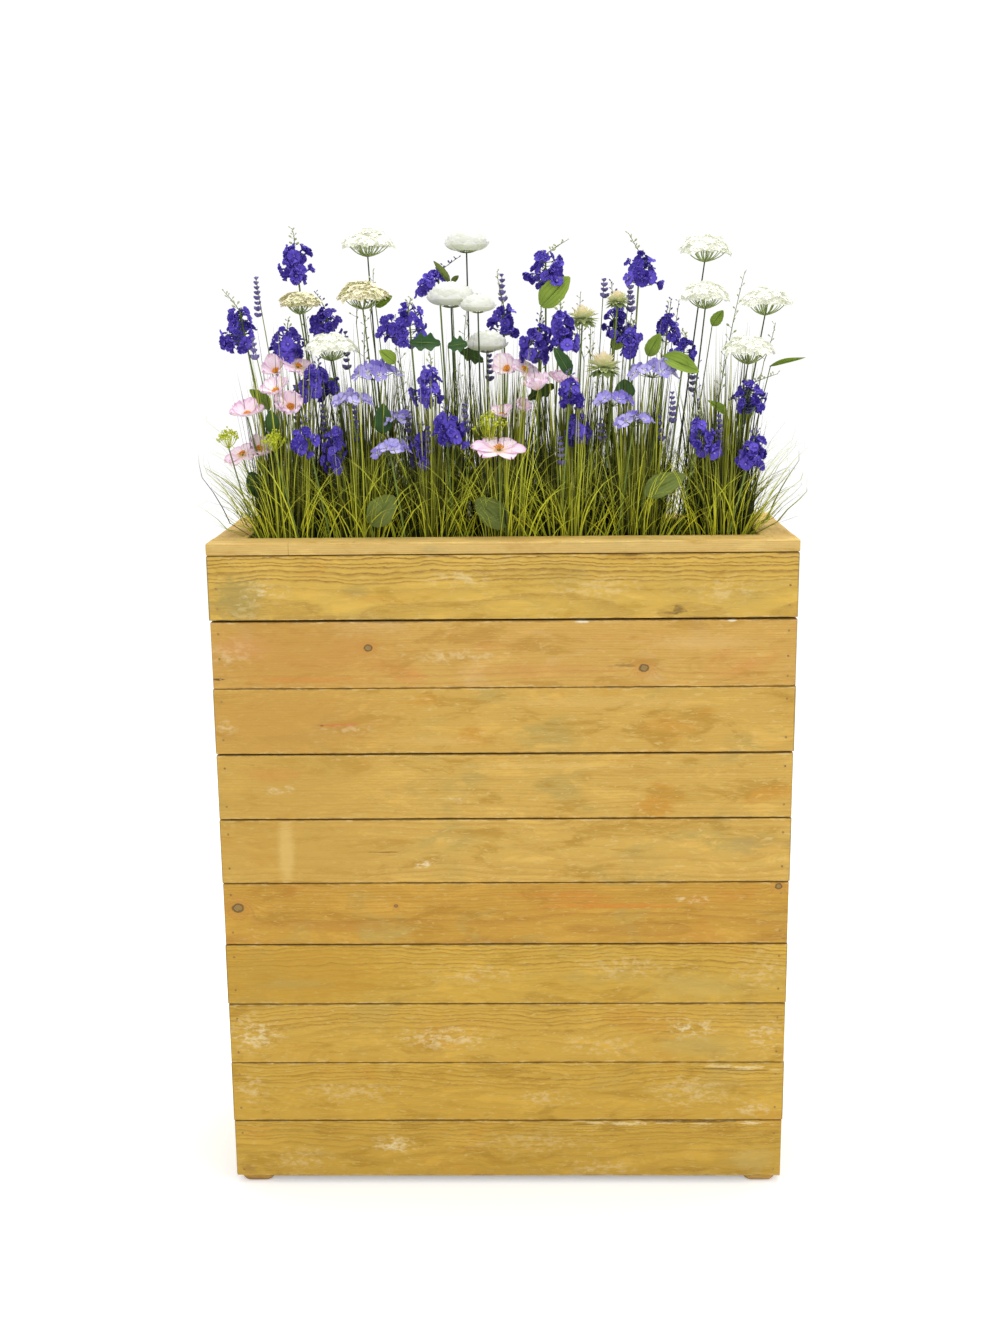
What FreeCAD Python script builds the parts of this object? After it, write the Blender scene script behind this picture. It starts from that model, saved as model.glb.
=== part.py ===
import FreeCAD, Part
import math
import os

# A tall, narrow planter box. Ten courses of sawn boards are nailed round four corner posts and
# capped with a flat rim. A plastic trough of artificial meadow plants lifts out of the top; it
# stands on a slatted shelf, so that only the upper part of the box has to be filled.
# X runs along the box, Y from its front to its back, Z up. The origin is on the ground at the
# centre of the box. Every length is in millimetres.

Vector = FreeCAD.Vector
SIDES = (-1, 1)
UP = Vector(0, 0, 1)

# Box: the overall plan and the boards of its walls, top course first
overall_length = 880.0
overall_depth = 325.0
board_width = 100.0
board_thickness = 22.0
board_arris = 0.8
board_width_shares = (0.97, 1.02, 1.015, 1.015, 1.02, 1.0, 0.985, 0.995, 0.995, 0.97)
widest_gap = 3.0
gap_shares = (1.0, 0.27, 0.83, 0.67, 0.4, 0.6, 0.4, 0.27, 0.5)
end_wander = 1.5
left_end_shares = (0.0, 1.0, 0.35, 0.65, 0.35, 0.8, 0.0, 0.55, 0.2, 0.65)
right_end_shares = (0.35, 0.55, 0.0, 0.65, 0.3, 1.0, 0.4, 0.8, 0.15, 1.0)

# Posts, rim and feet
post_width = 28.0
post_depth = 38.0
cap_thickness = 18.0
cap_overhang = 2.0
cap_gap = 1.0
cap_round = 2.5
foot_width = 52.0
foot_depth = 60.0
foot_height = 12.0
foot_inset_length = 8.0
foot_inset_depth = 3.0
foot_corner = 14.0
foot_round = 9.0

# Floor and shelf: two bearers carry a row of slats, once near the ground and once under the trough
bearer_height = 38.0
bearer_thickness = 22.0
floor_rise = 12.0
least_slat_gap = 12.0
slat_clearance = 1.5

# Trough and the dry foam in it
trough_clearance = 2.0
trough_drop = 28.0
trough_depth = 250.0
trough_wall = 3.0
trough_corner = 12.0
foam_count = 3
foam_height = 110.0
foam_clearance = 3.0

# Nails
nail_radius = 1.1
nail_head_radius = 1.9
nail_head_thickness = 1.0
wall_nail_length = 45.0
cap_nail_length = 40.0
bearer_nail_length = 38.0
foot_nail_length = 34.0
nail_clearance = 0.05
nail_inset = 13.0
foot_nail_sink = 2.0
long_nail_shares = (
    (0.19, 0.5), (0.15, 0.45, 0.83), (0.22, 0.81), (0.2, 0.8), (0.24, 0.78),
    (0.2, 0.82), (0.24, 0.8), (0.18, 0.76), (0.22, 0.8), (0.12, 0.78),
)
short_nail_shares = (0.34, 0.66)
long_cap_nail_shares = (-0.25, 0.25)
short_cap_nail_shares = (-0.4, 0.4)
bearer_nail_shares = (-0.42, -0.14, 0.14, 0.42)
bearer_nail_height_share = 0.7

# Grass: two rows of tufts, each between two shares of the trough's half length and half width
grass_above_rim = 70.0
tuft_length_shares = (
    (-0.99, -0.73), (-0.7, -0.44), (-0.41, -0.15), (-0.12, 0.12), (0.15, 0.39), (0.42, 0.66), (0.77, 0.99),
)
tuft_width_shares = ((-0.9, -0.04), (0.04, 0.9))
tuft_foot_share = 0.78

# Flowers: the splay is how far out a stem stands in the foam, as a share of its head's place
tallest_flower = 475.0
stem_radius = 2.2
stem_clearance = 1.5
splay_length_share = 0.8
splay_width_share = 0.6

# Forms of the heads: widest radius, height, and how far up the head is widest
SPIRE = {"radius": 22.0, "height": 67.0, "widest_share": 0.42}
UMBEL = {"radius": 35.0, "height": 26.0, "widest_share": 0.78}
POMPOM = {"radius": 32.0, "height": 23.0, "widest_share": 0.5}
BUTTON = {"radius": 17.0, "height": 26.0, "widest_share": 0.6}
BLOOM = {"radius": 30.0, "height": 16.0, "widest_share": 0.8}
CLUSTER = {"radius": 33.0, "height": 26.0, "widest_share": 0.6}
SPRAY = {"radius": 14.0, "height": 26.0, "widest_share": 0.7}
head_neck = 4.0
head_steps = 4

# Heads: place along the trough, place across it (-1 at its front), height, and relative size
spire_shares = (
    (-0.83, 0.45, 0.86, 1.0), (-1.04, -0.2, 0.65, 1.0), (-0.86, -0.05, 0.6, 0.95),
    (-0.71, 0.3, 0.67, 0.9), (-0.38, -0.15, 0.66, 1.1), (-0.29, 0.6, 0.79, 0.9),
    (-0.29, -0.65, 0.47, 1.0), (-0.21, -0.95, 0.34, 0.9), (-0.77, -1.05, 0.31, 0.75),
    (-0.66, -0.85, 0.28, 1.0), (-0.74, -0.35, 0.48, 0.85), (-0.32, -0.75, 0.27, 0.75),
    (0.18, 0.25, 0.83, 1.0), (0.01, 0.45, 0.67, 0.85), (0.14, -0.15, 0.6, 0.95),
    (0.24, -0.45, 0.64, 0.95), (0.46, 0.4, 0.66, 0.9), (0.56, 0.3, 0.83, 1.0),
    (0.51, -0.2, 0.6, 0.8), (0.66, 0.0, 0.64, 0.8), (0.72, -0.35, 0.57, 0.75),
    (0.96, -0.8, 0.43, 0.95), (0.78, -1.0, 0.31, 0.9), (0.97, -1.1, 0.26, 0.95),
    (0.27, -0.95, 0.45, 0.8), (0.3, -0.6, 0.33, 0.9),
)
umbel_shares = (
    (-0.54, 0.65, 0.92, 1.05), (-0.55, 0.05, 0.75, 1.0), (-0.8, 0.0, 0.73, 0.75),
    (-0.67, -0.35, 0.59, 1.0), (0.81, 0.4, 0.89, 1.0), (0.8, -0.15, 0.74, 0.95),
    (1.04, 0.0, 0.72, 1.0), (0.96, -0.5, 0.57, 1.0),
)
pompom_shares = (
    (-0.14, 0.5, 0.92, 0.95), (-0.2, 0.05, 0.75, 1.05), (-0.09, -0.4, 0.72, 0.75), (-0.06, 0.1, 0.6, 0.9),
)
button_shares = ((0.4, -0.35, 0.54, 1.2), (0.32, -0.05, 0.69, 1.0), (0.46, 0.05, 0.74, 0.8))
bloom_shares = (
    (-0.89, -0.35, 0.52, 0.7), (-0.82, -0.8, 0.41, 1.05), (-0.99, -0.85, 0.39, 0.75),
    (-1.03, -0.55, 0.26, 0.85), (0.02, -0.25, 0.52, 1.05), (0.14, -0.65, 0.46, 1.0),
    (0.0, -0.65, 0.38, 0.8), (-0.01, -1.1, 0.28, 1.0),
)
cluster_shares = (
    (-0.5, -0.5, 0.51, 1.05), (-0.59, -0.75, 0.43, 0.9), (-0.43, -1.1, 0.28, 0.9),
    (-0.41, -0.65, 0.37, 0.7), (0.59, -0.5, 0.51, 1.05), (0.43, -0.75, 0.42, 0.9),
    (0.51, -0.95, 0.36, 0.9),
)
spray_shares = ((-1.06, -1.0, 0.32, 0.9), (-0.88, -1.05, 0.31, 0.9), (-0.12, -0.7, 0.35, 1.0))

# How far a cutter runs past what it cuts
overrun = 5.0

# Levels and sizes that follow from the values above
board_widths = [board_width * share for share in board_width_shares]
gaps = [widest_gap * share for share in gap_shares]
cap_underside = foot_height + sum(board_widths) + sum(gaps) + cap_gap
overall_height = cap_underside + cap_thickness
half_length = overall_length / 2
half_depth = overall_depth / 2
inner_half_length = half_length - board_thickness - post_width
inner_half_depth = half_depth - board_thickness
post_centre_x = half_length - board_thickness - post_width / 2
post_centre_y = half_depth - board_thickness - post_depth / 2
side_cap_width = board_thickness + post_width + cap_overhang
long_cap_width = board_thickness + post_depth + cap_overhang
trough_length = overall_length - 2 * (side_cap_width + trough_clearance)
trough_width = overall_depth - 2 * (long_cap_width + trough_clearance)
trough_floor = overall_height - trough_drop - trough_depth
foam_floor = trough_floor + trough_wall
foam_top = foam_floor + foam_height
foam_half_length = trough_length / 2 - trough_wall - foam_clearance
foam_half_width = trough_width / 2 - trough_wall - foam_clearance


def block(low, high):
    """A box between two corners."""
    size = high - low
    return Part.makeBox(size.x, size.y, size.z, low)


def eased(board, direction):
    """The board with the edges that run along a direction chamfered."""
    edges = [e for e in board.Edges if e.tangentAt(e.FirstParameter).cross(direction).Length < 0.5]
    return board.makeChamfer(board_arris, edges)


def course_spans():
    """The lowest and highest level of each course, from the top course down."""
    spans = []
    top = cap_underside - cap_gap
    for width, gap in zip(board_widths, gaps + [0.0]):
        spans.append((top - width, top))
        top -= width + gap
    return spans


COURSES = course_spans()


def long_board(course, facing):
    """A board of the front or back wall; it covers the ends of the short walls' boards."""
    low, high = COURSES[course]
    left = half_length - end_wander * left_end_shares[course]
    right = half_length - end_wander * right_end_shares[course]
    if facing > 0:
        left, right = right, left
    outer = facing * half_depth
    inner = facing * inner_half_depth
    board = block(Vector(-left, min(outer, inner), low), Vector(right, max(outer, inner), high))
    return eased(board, Vector(1, 0, 0))


def short_board(course, side):
    """A board of an end wall, between the long walls. The top one reaches the rim."""
    low, high = COURSES[course]
    if course == 0:
        high = cap_underside
    outer = side * half_length
    inner = side * (half_length - board_thickness)
    board = block(
        Vector(min(outer, inner), -inner_half_depth, low),
        Vector(max(outer, inner), inner_half_depth, high),
    )
    return eased(board, Vector(0, 1, 0))


def corner_post(side, facing):
    """A post in the angle of two walls, from a foot to the rim."""
    centre = Vector(side * post_centre_x, facing * post_centre_y, 0)
    half = Vector(post_width / 2, post_depth / 2, 0)
    return block(centre - half + UP * foot_height, centre + half + UP * cap_underside)


def rounded_top(cap):
    """A rim board with its top edges rounded over."""
    edges = [e for e in cap.Edges if e.BoundBox.ZMin > overall_height - cap_thickness / 2]
    return cap.makeFillet(cap_round, edges)


def long_cap(facing):
    """A rim board along the front or back; it runs the full length."""
    outer = facing * half_depth
    inner = facing * (half_depth - long_cap_width)
    return rounded_top(block(
        Vector(-half_length, min(outer, inner), cap_underside),
        Vector(half_length, max(outer, inner), overall_height),
    ))


def short_cap(side):
    """A rim board at an end, butted between the long ones."""
    outer = side * half_length
    inner = side * (half_length - side_cap_width)
    reach = half_depth - long_cap_width
    return rounded_top(block(
        Vector(min(outer, inner), -reach, cap_underside),
        Vector(max(outer, inner), reach, overall_height),
    ))


def foot_pad(side, facing):
    """A low pad under a corner, its corners and lower edge rounded."""
    outer = Vector(half_length - foot_inset_length, half_depth - foot_inset_depth, 0)
    inner = outer - Vector(foot_width, foot_depth, 0)
    pad = block(inner, outer + UP * foot_height)
    pad = pad.makeFillet(foot_corner, [e for e in pad.Edges if e.BoundBox.ZLength > foot_height / 2])
    pad = pad.makeFillet(foot_round, [e for e in pad.Edges if e.BoundBox.ZMax < foot_round / 2])
    if side < 0:
        pad = pad.mirror(Vector(0, 0, 0), Vector(1, 0, 0))
    if facing < 0:
        pad = pad.mirror(Vector(0, 0, 0), Vector(0, 1, 0))
    return pad


def bearers(bottom):
    """Two battens, one on each long wall, that carry a row of slats."""
    found = []
    for facing in SIDES:
        outer = facing * inner_half_depth
        inner = facing * (inner_half_depth - bearer_thickness)
        found.append(block(
            Vector(-inner_half_length, min(outer, inner), bottom),
            Vector(inner_half_length, max(outer, inner), bottom + bearer_height),
        ))
    return found


def slats(bottom):
    """A row of slats across the box, as many as fit, evenly spaced between the posts."""
    run = 2 * (inner_half_length - slat_clearance)
    count = int((run + least_slat_gap) // (board_width + least_slat_gap))
    pitch = (run - board_width) / (count - 1)
    reach = inner_half_depth - slat_clearance
    found = []
    for n in range(count):
        left = n * pitch - run / 2
        found.append(block(
            Vector(left, -reach, bottom),
            Vector(left + board_width, reach, bottom + board_thickness),
        ))
    return found


FLOOR_BEARER = foot_height + floor_rise
SHELF_BEARER = trough_floor - board_thickness - bearer_height


def trough():
    """The plastic trough that the plants are built up in."""
    outer = Vector(trough_length / 2, trough_width / 2, 0)
    inner = outer - Vector(trough_wall, trough_wall, 0)
    rim = trough_floor + trough_depth
    shell = block(UP * trough_floor - outer, outer + UP * rim)
    shell = shell.makeFillet(trough_corner, [e for e in shell.Edges if e.BoundBox.ZLength > trough_wall])
    inside = block(UP * foam_floor - inner, inner + UP * (rim + overrun))
    inside = inside.makeFillet(
        trough_corner - trough_wall, [e for e in inside.Edges if e.BoundBox.ZLength > trough_wall]
    )
    return shell.cut(inside)


def foam():
    """Blocks of dry foam side by side on the trough's floor."""
    length = (2 * foam_half_length - (foam_count - 1) * foam_clearance) / foam_count
    found = []
    for n in range(foam_count):
        left = -foam_half_length + n * (length + foam_clearance)
        found.append(block(
            Vector(left, -foam_half_width, foam_floor),
            Vector(left + length, foam_half_width, foam_top),
        ))
    return found


def placed(solid, point, direction):
    """A copy of a solid made along +Z, moved to a point and turned to a direction."""
    copy = solid.copy()
    copy.Placement = FreeCAD.Placement(point, FreeCAD.Rotation(UP, direction))
    return copy


def nail_form(length, clearance, ahead):
    """A nail along +Z with its head at the origin, or with clearance the hole for one."""
    head = Part.makeCylinder(
        nail_head_radius + clearance, nail_head_thickness + clearance + ahead, Vector(0, 0, -ahead), UP
    )
    return head.fuse(Part.makeCylinder(nail_radius + clearance, length + clearance, Vector(), UP))


def wall_nails():
    """Where the nails of the walls start and which way they go."""
    found = []
    for (low, high), long_shares in zip(COURSES, long_nail_shares):
        for side in SIDES:
            for facing in SIDES:
                for share in long_shares:
                    level = low + share * (high - low)
                    found.append((
                        Vector(side * (half_length - nail_inset), facing * half_depth, level),
                        Vector(0, -facing, 0),
                    ))
                for share in short_nail_shares:
                    level = low + share * (high - low)
                    found.append((
                        Vector(side * half_length, facing * post_centre_y, level),
                        Vector(-side, 0, 0),
                    ))
    return found


def cap_nails():
    """Nails down through the rim into the posts and the top boards."""
    wall_y = half_depth - board_thickness / 2
    wall_x = half_length - board_thickness / 2
    spots = [(side * post_centre_x, facing * post_centre_y) for side in SIDES for facing in SIDES]
    spots += [(share * overall_length, facing * wall_y) for share in long_cap_nail_shares for facing in SIDES]
    reach = half_depth - long_cap_width
    spots += [(side * wall_x, share * 2 * reach) for share in short_cap_nail_shares for side in SIDES]
    return [(Vector(x, y, overall_height), -UP) for x, y in spots]


def bearer_nails():
    """Nails from inside, through the bearers into the long walls."""
    found = []
    for bottom in (FLOOR_BEARER, SHELF_BEARER):
        level = bottom + bearer_nail_height_share * bearer_height
        for facing in SIDES:
            face = facing * (inner_half_depth - bearer_thickness)
            for share in bearer_nail_shares:
                point = Vector(share * 2 * inner_half_length, face, level)
                found.append((point, Vector(0, facing, 0)))
    return found


def foot_nails():
    """Nails up through the pads into the posts."""
    return [
        (Vector(side * post_centre_x, facing * post_centre_y, foot_nail_sink), UP)
        for side in SIDES
        for facing in SIDES
    ]


def fasteners():
    """Every nail, and the hole that each one needs."""
    nails, holes = [], []
    groups = (
        (wall_nails(), wall_nail_length),
        (cap_nails(), cap_nail_length),
        (bearer_nails(), bearer_nail_length),
        (foot_nails(), foot_nail_length),
    )
    for spots, length in groups:
        nail = nail_form(length, 0.0, 0.0)
        hole = nail_form(length, nail_clearance, overrun)
        nails += [placed(nail, point, direction) for point, direction in spots]
        holes += [placed(hole, point, direction) for point, direction in spots]
    return nails, holes


def drilled(solid, holes):
    """A piece with the holes of the nails that pass through it."""
    through = [hole for hole in holes if hole.BoundBox.intersect(solid.BoundBox)]
    return solid.cut(through) if through else solid


def head_form(form, size):
    """A flower head along +Z with its neck at the origin: two rounded cones turned about the stem."""
    radius = form["radius"] * size
    height = form["height"] * size
    neck = stem_radius + head_neck
    widest = form["widest_share"] * height
    turns = [math.pi / 2 * n / head_steps for n in range(head_steps + 1)]
    under = [Vector(neck + (radius - neck) * math.sin(t), 0, widest * (1 - math.cos(t))) for t in turns]
    over = [Vector(radius * math.cos(t), 0, widest + (height - widest) * math.sin(t)) for t in turns[1:-1]]
    outline = [Vector()] + under + over + [Vector(0, 0, height), Vector()]
    return Part.Face(Part.makePolygon(outline)).revolve(Vector(), UP, 360)


def stem(base, top, radius):
    """A straight rod between two points, cut level where it stands on the foam."""
    lean = (top - base).normalize()
    start = base - lean * overrun
    rod = Part.makeCylinder(radius, (top - start).Length, start, lean)
    reach = Vector(2 * overrun, 2 * overrun, 0)
    return rod.cut(block(base - reach - UP * 2 * overrun, base + reach))


def flower(form, place):
    """A head, its stem and the room that the grass leaves round the stem, from the foam to the neck."""
    along, across, up, size = place
    middle = Vector(
        along * trough_length / 2,
        across * trough_width / 2,
        overall_height + up * tallest_flower,
    )
    base = Vector(
        max(-foam_half_length, min(foam_half_length, middle.x * splay_length_share)),
        max(-foam_half_width, min(foam_half_width, middle.y * splay_width_share)),
        foam_top,
    )
    lean = (middle - base).normalize()
    neck = middle - lean * form["height"] * size / 2
    head = placed(head_form(form, size), neck, lean)
    return head, stem(base, neck, stem_radius), stem(base, neck, stem_radius + stem_clearance)


def rectangle(centre, half_x, half_y):
    """A level rectangular wire."""
    corners = [
        centre + Vector(-half_x, -half_y, 0),
        centre + Vector(half_x, -half_y, 0),
        centre + Vector(half_x, half_y, 0),
        centre + Vector(-half_x, half_y, 0),
    ]
    return Part.makePolygon(corners + corners[:1])


def grass_tufts(rooms):
    """Blocks that stand for the tufts of grass, wider at the top, with room for the stems."""
    half_length = trough_length / 2 - trough_wall
    half_width = trough_width / 2 - trough_wall
    found = []
    for front, back in tuft_width_shares:
        for left, right in tuft_length_shares:
            middle = Vector((left + right) / 2 * half_length, (front + back) / 2 * half_width, 0)
            half_x = (right - left) / 2 * half_length
            half_y = (back - front) / 2 * half_width
            tuft = Part.makeLoft([
                rectangle(middle + UP * foam_top, half_x * tuft_foot_share, half_y * tuft_foot_share),
                rectangle(middle + UP * (overall_height + grass_above_rim), half_x, half_y),
            ], True, True)
            near = [room for room in rooms if room.BoundBox.intersect(tuft.BoundBox)]
            cut = tuft.cut(near) if near else tuft
            found.append(max(cut.Solids, key=lambda solid: solid.Volume))
    return found


def planting():
    """The flowers by kind of head, their stems, and the grass round them."""
    groups = {
        "spire_heads": ((SPIRE, spire_shares),),
        "white_heads": ((UMBEL, umbel_shares), (POMPOM, pompom_shares), (BUTTON, button_shares)),
        "low_heads": ((BLOOM, bloom_shares), (CLUSTER, cluster_shares), (SPRAY, spray_shares)),
    }
    nodes, stems, rooms = {}, [], []
    for node, kinds in groups.items():
        made = [flower(form, place) for form, places in kinds for place in places]
        nodes[node] = [head for head, _, _ in made]
        stems += [rod for _, rod, _ in made]
        rooms += [room for _, _, room in made]
    nodes["flower_stems"] = stems
    nodes["grass_tufts"] = grass_tufts(rooms)
    return nodes


def save(name, solids):
    """Writes one named piece, or one group of like pieces."""
    shape = Part.makeCompound(solids) if len(solids) > 1 else solids[0]
    shape.exportStep(os.path.join("parts", name + ".step"))


def build():
    nails, holes = fasteners()
    nodes = {}
    for course in range(len(COURSES)):
        number = f"{course + 1:02d}"
        nodes["front_board_" + number] = [long_board(course, -1)]
        nodes["back_board_" + number] = [long_board(course, 1)]
        nodes["left_board_" + number] = [short_board(course, -1)]
        nodes["right_board_" + number] = [short_board(course, 1)]
    for side, side_name in zip(SIDES, ("left", "right")):
        nodes["cap_" + side_name] = [short_cap(side)]
        for facing, facing_name in zip(SIDES, ("front", "back")):
            nodes[f"corner_post_{facing_name}_{side_name}"] = [corner_post(side, facing)]
    nodes["cap_front"] = [long_cap(-1)]
    nodes["cap_back"] = [long_cap(1)]
    nodes["foot_pads"] = [foot_pad(side, facing) for side in SIDES for facing in SIDES]
    nodes["slat_bearers"] = bearers(FLOOR_BEARER) + bearers(SHELF_BEARER)
    nodes = {name: [drilled(solid, holes) for solid in solids] for name, solids in nodes.items()}
    nodes["floor_slats"] = slats(FLOOR_BEARER + bearer_height)
    nodes["shelf_slats"] = slats(SHELF_BEARER + bearer_height)
    nodes["nails"] = nails
    nodes["trough"] = [trough()]
    nodes["foam_blocks"] = foam()
    nodes.update(planting())
    os.makedirs("parts", exist_ok=True)
    for name, solids in nodes.items():
        save(name, solids)
    print(len(nodes), "nodes; height of the box", round(overall_height, 2))


build()
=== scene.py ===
# %% [markdown]
# A wooden planter with an artificial meadow
#
# The real object is a tall box of rough softwood boards with a flat rim. A plastic trough stands
# inside it, and cloth and plastic flowers, leaves and grass are pushed into dry foam in the trough.
# The CAD model is loaded first and never moved. Every piece made below sits where its node is.

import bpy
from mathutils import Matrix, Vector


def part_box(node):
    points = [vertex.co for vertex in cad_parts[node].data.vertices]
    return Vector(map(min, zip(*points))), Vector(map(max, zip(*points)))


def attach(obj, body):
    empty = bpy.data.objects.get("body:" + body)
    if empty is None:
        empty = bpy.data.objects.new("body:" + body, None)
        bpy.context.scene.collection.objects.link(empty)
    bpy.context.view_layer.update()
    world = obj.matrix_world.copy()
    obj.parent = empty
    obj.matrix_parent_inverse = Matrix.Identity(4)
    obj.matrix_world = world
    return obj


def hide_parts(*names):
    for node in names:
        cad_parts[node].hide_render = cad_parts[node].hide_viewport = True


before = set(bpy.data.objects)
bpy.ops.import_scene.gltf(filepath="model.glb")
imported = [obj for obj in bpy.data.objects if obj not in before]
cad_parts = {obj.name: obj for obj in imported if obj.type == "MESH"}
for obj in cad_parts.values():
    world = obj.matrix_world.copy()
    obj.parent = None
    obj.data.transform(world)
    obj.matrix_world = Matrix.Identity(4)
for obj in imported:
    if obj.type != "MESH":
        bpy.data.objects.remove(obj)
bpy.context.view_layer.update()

# %% [markdown]
# The camera
#
# The photograph was taken from a little above the rim, almost square on to the front. A camera
# could be turned by eye until it fits. This one is matched to the box's corners instead, so its
# three axes are worked out from how far it is turned, tipped and rolled. The Standard view keeps
# the white ground white.

# %% Camera
import bpy
import math
import numpy as np
from mathutils import Matrix, Vector

turned, tipped, rolled = (math.radians(angle) for angle in (1.052, 12.545, 0.571))
level_right = Vector((math.cos(turned), math.sin(turned), 0))
level_ahead = Vector((-math.sin(turned), math.cos(turned), 0))
ahead = level_ahead * math.cos(tipped) - Vector((0, 0, math.sin(tipped)))
above = level_ahead * math.sin(tipped) + Vector((0, 0, math.cos(tipped)))
camera_right = level_right * math.cos(rolled) - above * math.sin(rolled)
camera_up = level_right * math.sin(rolled) + above * math.cos(rolled)


def new_object(name, data):
    """Puts a camera, a mesh or a lamp into the scene."""
    made = bpy.data.objects.new(name, data)
    bpy.context.scene.collection.objects.link(made)
    return made


camera = new_object("camera", bpy.data.cameras.new("camera"))
camera.data.sensor_width = 36
camera.data.lens = 43.257
camera.matrix_world = Matrix((camera_right, camera_up, -ahead)).transposed().to_4x4()
camera.location = (0.0385, -2.5119, 1.3786)
bpy.context.scene.camera = camera
bpy.context.scene.view_settings.view_transform = "Standard"
FRONT_MIDDLE = Vector((0, -0.16, 0.5))
print("camera", round((FRONT_MIDDLE - camera.location).length, 3), "m from the front")

# %% [markdown]
# A heap of faces
#
# Boards, petals and blades of grass are all small sheets or tubes, made from rows of points. Each
# could be an object of its own, but thousands of objects are slow. A heap gathers the points and
# faces of one kind of piece and turns them into one mesh at the end. Each point also carries three
# numbers called "grow": how far along its petal it is, how far across, and a tone that differs from
# petal to petal.

# %% Heap of faces
class Heap:
    def __init__(self):
        self.points, self.faces, self.grow, self.finish, self.count = [], [], [], [], 0

    def add(self, points, faces, grow=None, finish=0):
        points = np.asarray(points, float).reshape(-1, 3)
        faces = np.asarray(faces, int)
        if faces.shape[1] == 3:
            faces = np.hstack([faces, np.full((len(faces), 1), -1)])
        self.points.append(points)
        self.faces.append(np.where(faces < 0, -1, faces + self.count))
        self.grow.append(np.zeros((len(points), 3)) if grow is None else np.asarray(grow).reshape(-1, 3))
        self.finish.append(np.full(len(faces), finish))
        self.count += len(points)

    def make(self, name, finishes, body, nodes=()):
        points, faces = np.concatenate(self.points), np.concatenate(self.faces)
        sizes = np.where(faces[:, 3] < 0, 3, 4)
        corners = faces.ravel()[faces.ravel() >= 0]
        mesh = bpy.data.meshes.new(name)
        mesh.vertices.add(len(points))
        mesh.vertices.foreach_set("co", points.ravel())
        mesh.loops.add(len(corners))
        mesh.loops.foreach_set("vertex_index", corners)
        mesh.polygons.add(len(faces))
        mesh.polygons.foreach_set("loop_start", np.concatenate([[0], np.cumsum(sizes)[:-1]]))
        mesh.polygons.foreach_set("material_index", np.concatenate(self.finish))
        mesh.polygons.foreach_set("use_smooth", np.ones(len(faces), bool))
        mesh.update(calc_edges=True)
        grow = mesh.attributes.new("grow", "FLOAT_VECTOR", "POINT")
        grow.data.foreach_set("vector", np.concatenate(self.grow).ravel())
        mesh.validate()
        for finish in finishes:
            mesh.materials.append(finish)
        piece = new_object(name, mesh)
        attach(piece, body)
        if nodes:
            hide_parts(*nodes)


def sheet_faces(rows, cols, closed=False):
    """The four-cornered faces of a grid of rows x cols points; closed joins the last column to the first."""
    row, col = np.meshgrid(np.arange(rows - 1), np.arange(cols if closed else cols - 1), indexing="ij")
    here, below, right = row * cols, (row + 1) * cols, (col + 1) % cols
    corners = [here + col, here + right, below + right, below + col]
    return np.stack(corners, -1).reshape(-1, 4)


dice = np.random.default_rng(7)
print("a 5 x 4 sheet has", len(sheet_faces(5, 4)), "faces")

# %% [markdown]
# Wiring finishes
#
# A finish is a tree of shader nodes. It could be joined by hand in the shader editor. These helpers
# put in a node, feed its sockets, do a sum, mix two colours and pull noise long, so that each
# finish below reads like a recipe. An effect is a node group: it is built once with named sockets,
# and each finish places it with its own values.

# %% Wiring helpers
def wire(source, socket):
    """Joins two sockets of the same tree."""
    socket.id_data.links.new(source, socket)


def feed(socket, value):
    """Wires a socket to another one, or sets its own value."""
    if isinstance(value, bpy.types.NodeSocket):
        wire(value, socket)
    else:
        socket.default_value = value


def put(tree, kind, inputs=None, **settings):
    """Puts a node into a tree; inputs has a socket or a value for each of its sockets by name."""
    made = tree.nodes.new("ShaderNode" + kind)
    for name, value in settings.items():
        setattr(made, name, value)
    for name, value in (inputs or {}).items():
        feed(made.inputs[name], value)
    return made


def tree_of(*values):
    """The tree of the first socket among the values."""
    return next(value.id_data for value in values if isinstance(value, bpy.types.NodeSocket))


def reckon(operation, *values):
    """A sum with sockets or numbers, in the tree of the first socket."""
    made = put(tree_of(*values), "Math", operation=operation)
    for socket, value in zip(made.inputs, values):
        feed(socket, value)
    return made.outputs[0]


def plus(first, *others):
    for other in others:
        first = reckon("ADD", first, other)
    return first


def minus(first, second):
    return reckon("SUBTRACT", first, second)


def times(first, *others):
    for other in others:
        first = reckon("MULTIPLY", first, other)
    return first


def distance(one, two):
    """How far off a point with two given parts is."""
    return reckon("SQRT", plus(times(one, one), times(two, two)))


def fade(value, start, end, low=0.0, high=1.0):
    """Goes smoothly from low at start to high at end."""
    made = put(tree_of(value), "MapRange", interpolation_type="SMOOTHSTEP")
    for number, given in enumerate((value, start, end, low, high)):
        feed(made.inputs[number], given)
    return made.outputs[0]


def mix(amount, first, second):
    made = put(tree_of(amount, first, second), "Mix", data_type="RGBA")
    for number, given in ((0, amount), (6, first), (7, second)):
        feed(made.inputs[number], given)
    return made.outputs[2]


def paint(red, green, blue):
    """A colour as read from a paint card, 0 to 255, turned into the light values that shaders use."""
    card = [value / 255 for value in (red, green, blue)]
    light = [part / 12.92 if part < 0.04045 else ((part + 0.055) / 1.055) ** 2.4 for part in card]
    return (*light, 1)


def tint(colour, amount, tone):
    """Lays a tone from the paint card over a colour."""
    return mix(amount, colour, paint(*tone))


def split(vector):
    return put(tree_of(vector), "SeparateXYZ", {"Vector": vector}).outputs


print("golden board tone in light values:", [round(v, 3) for v in paint(212, 172, 90)])

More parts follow.
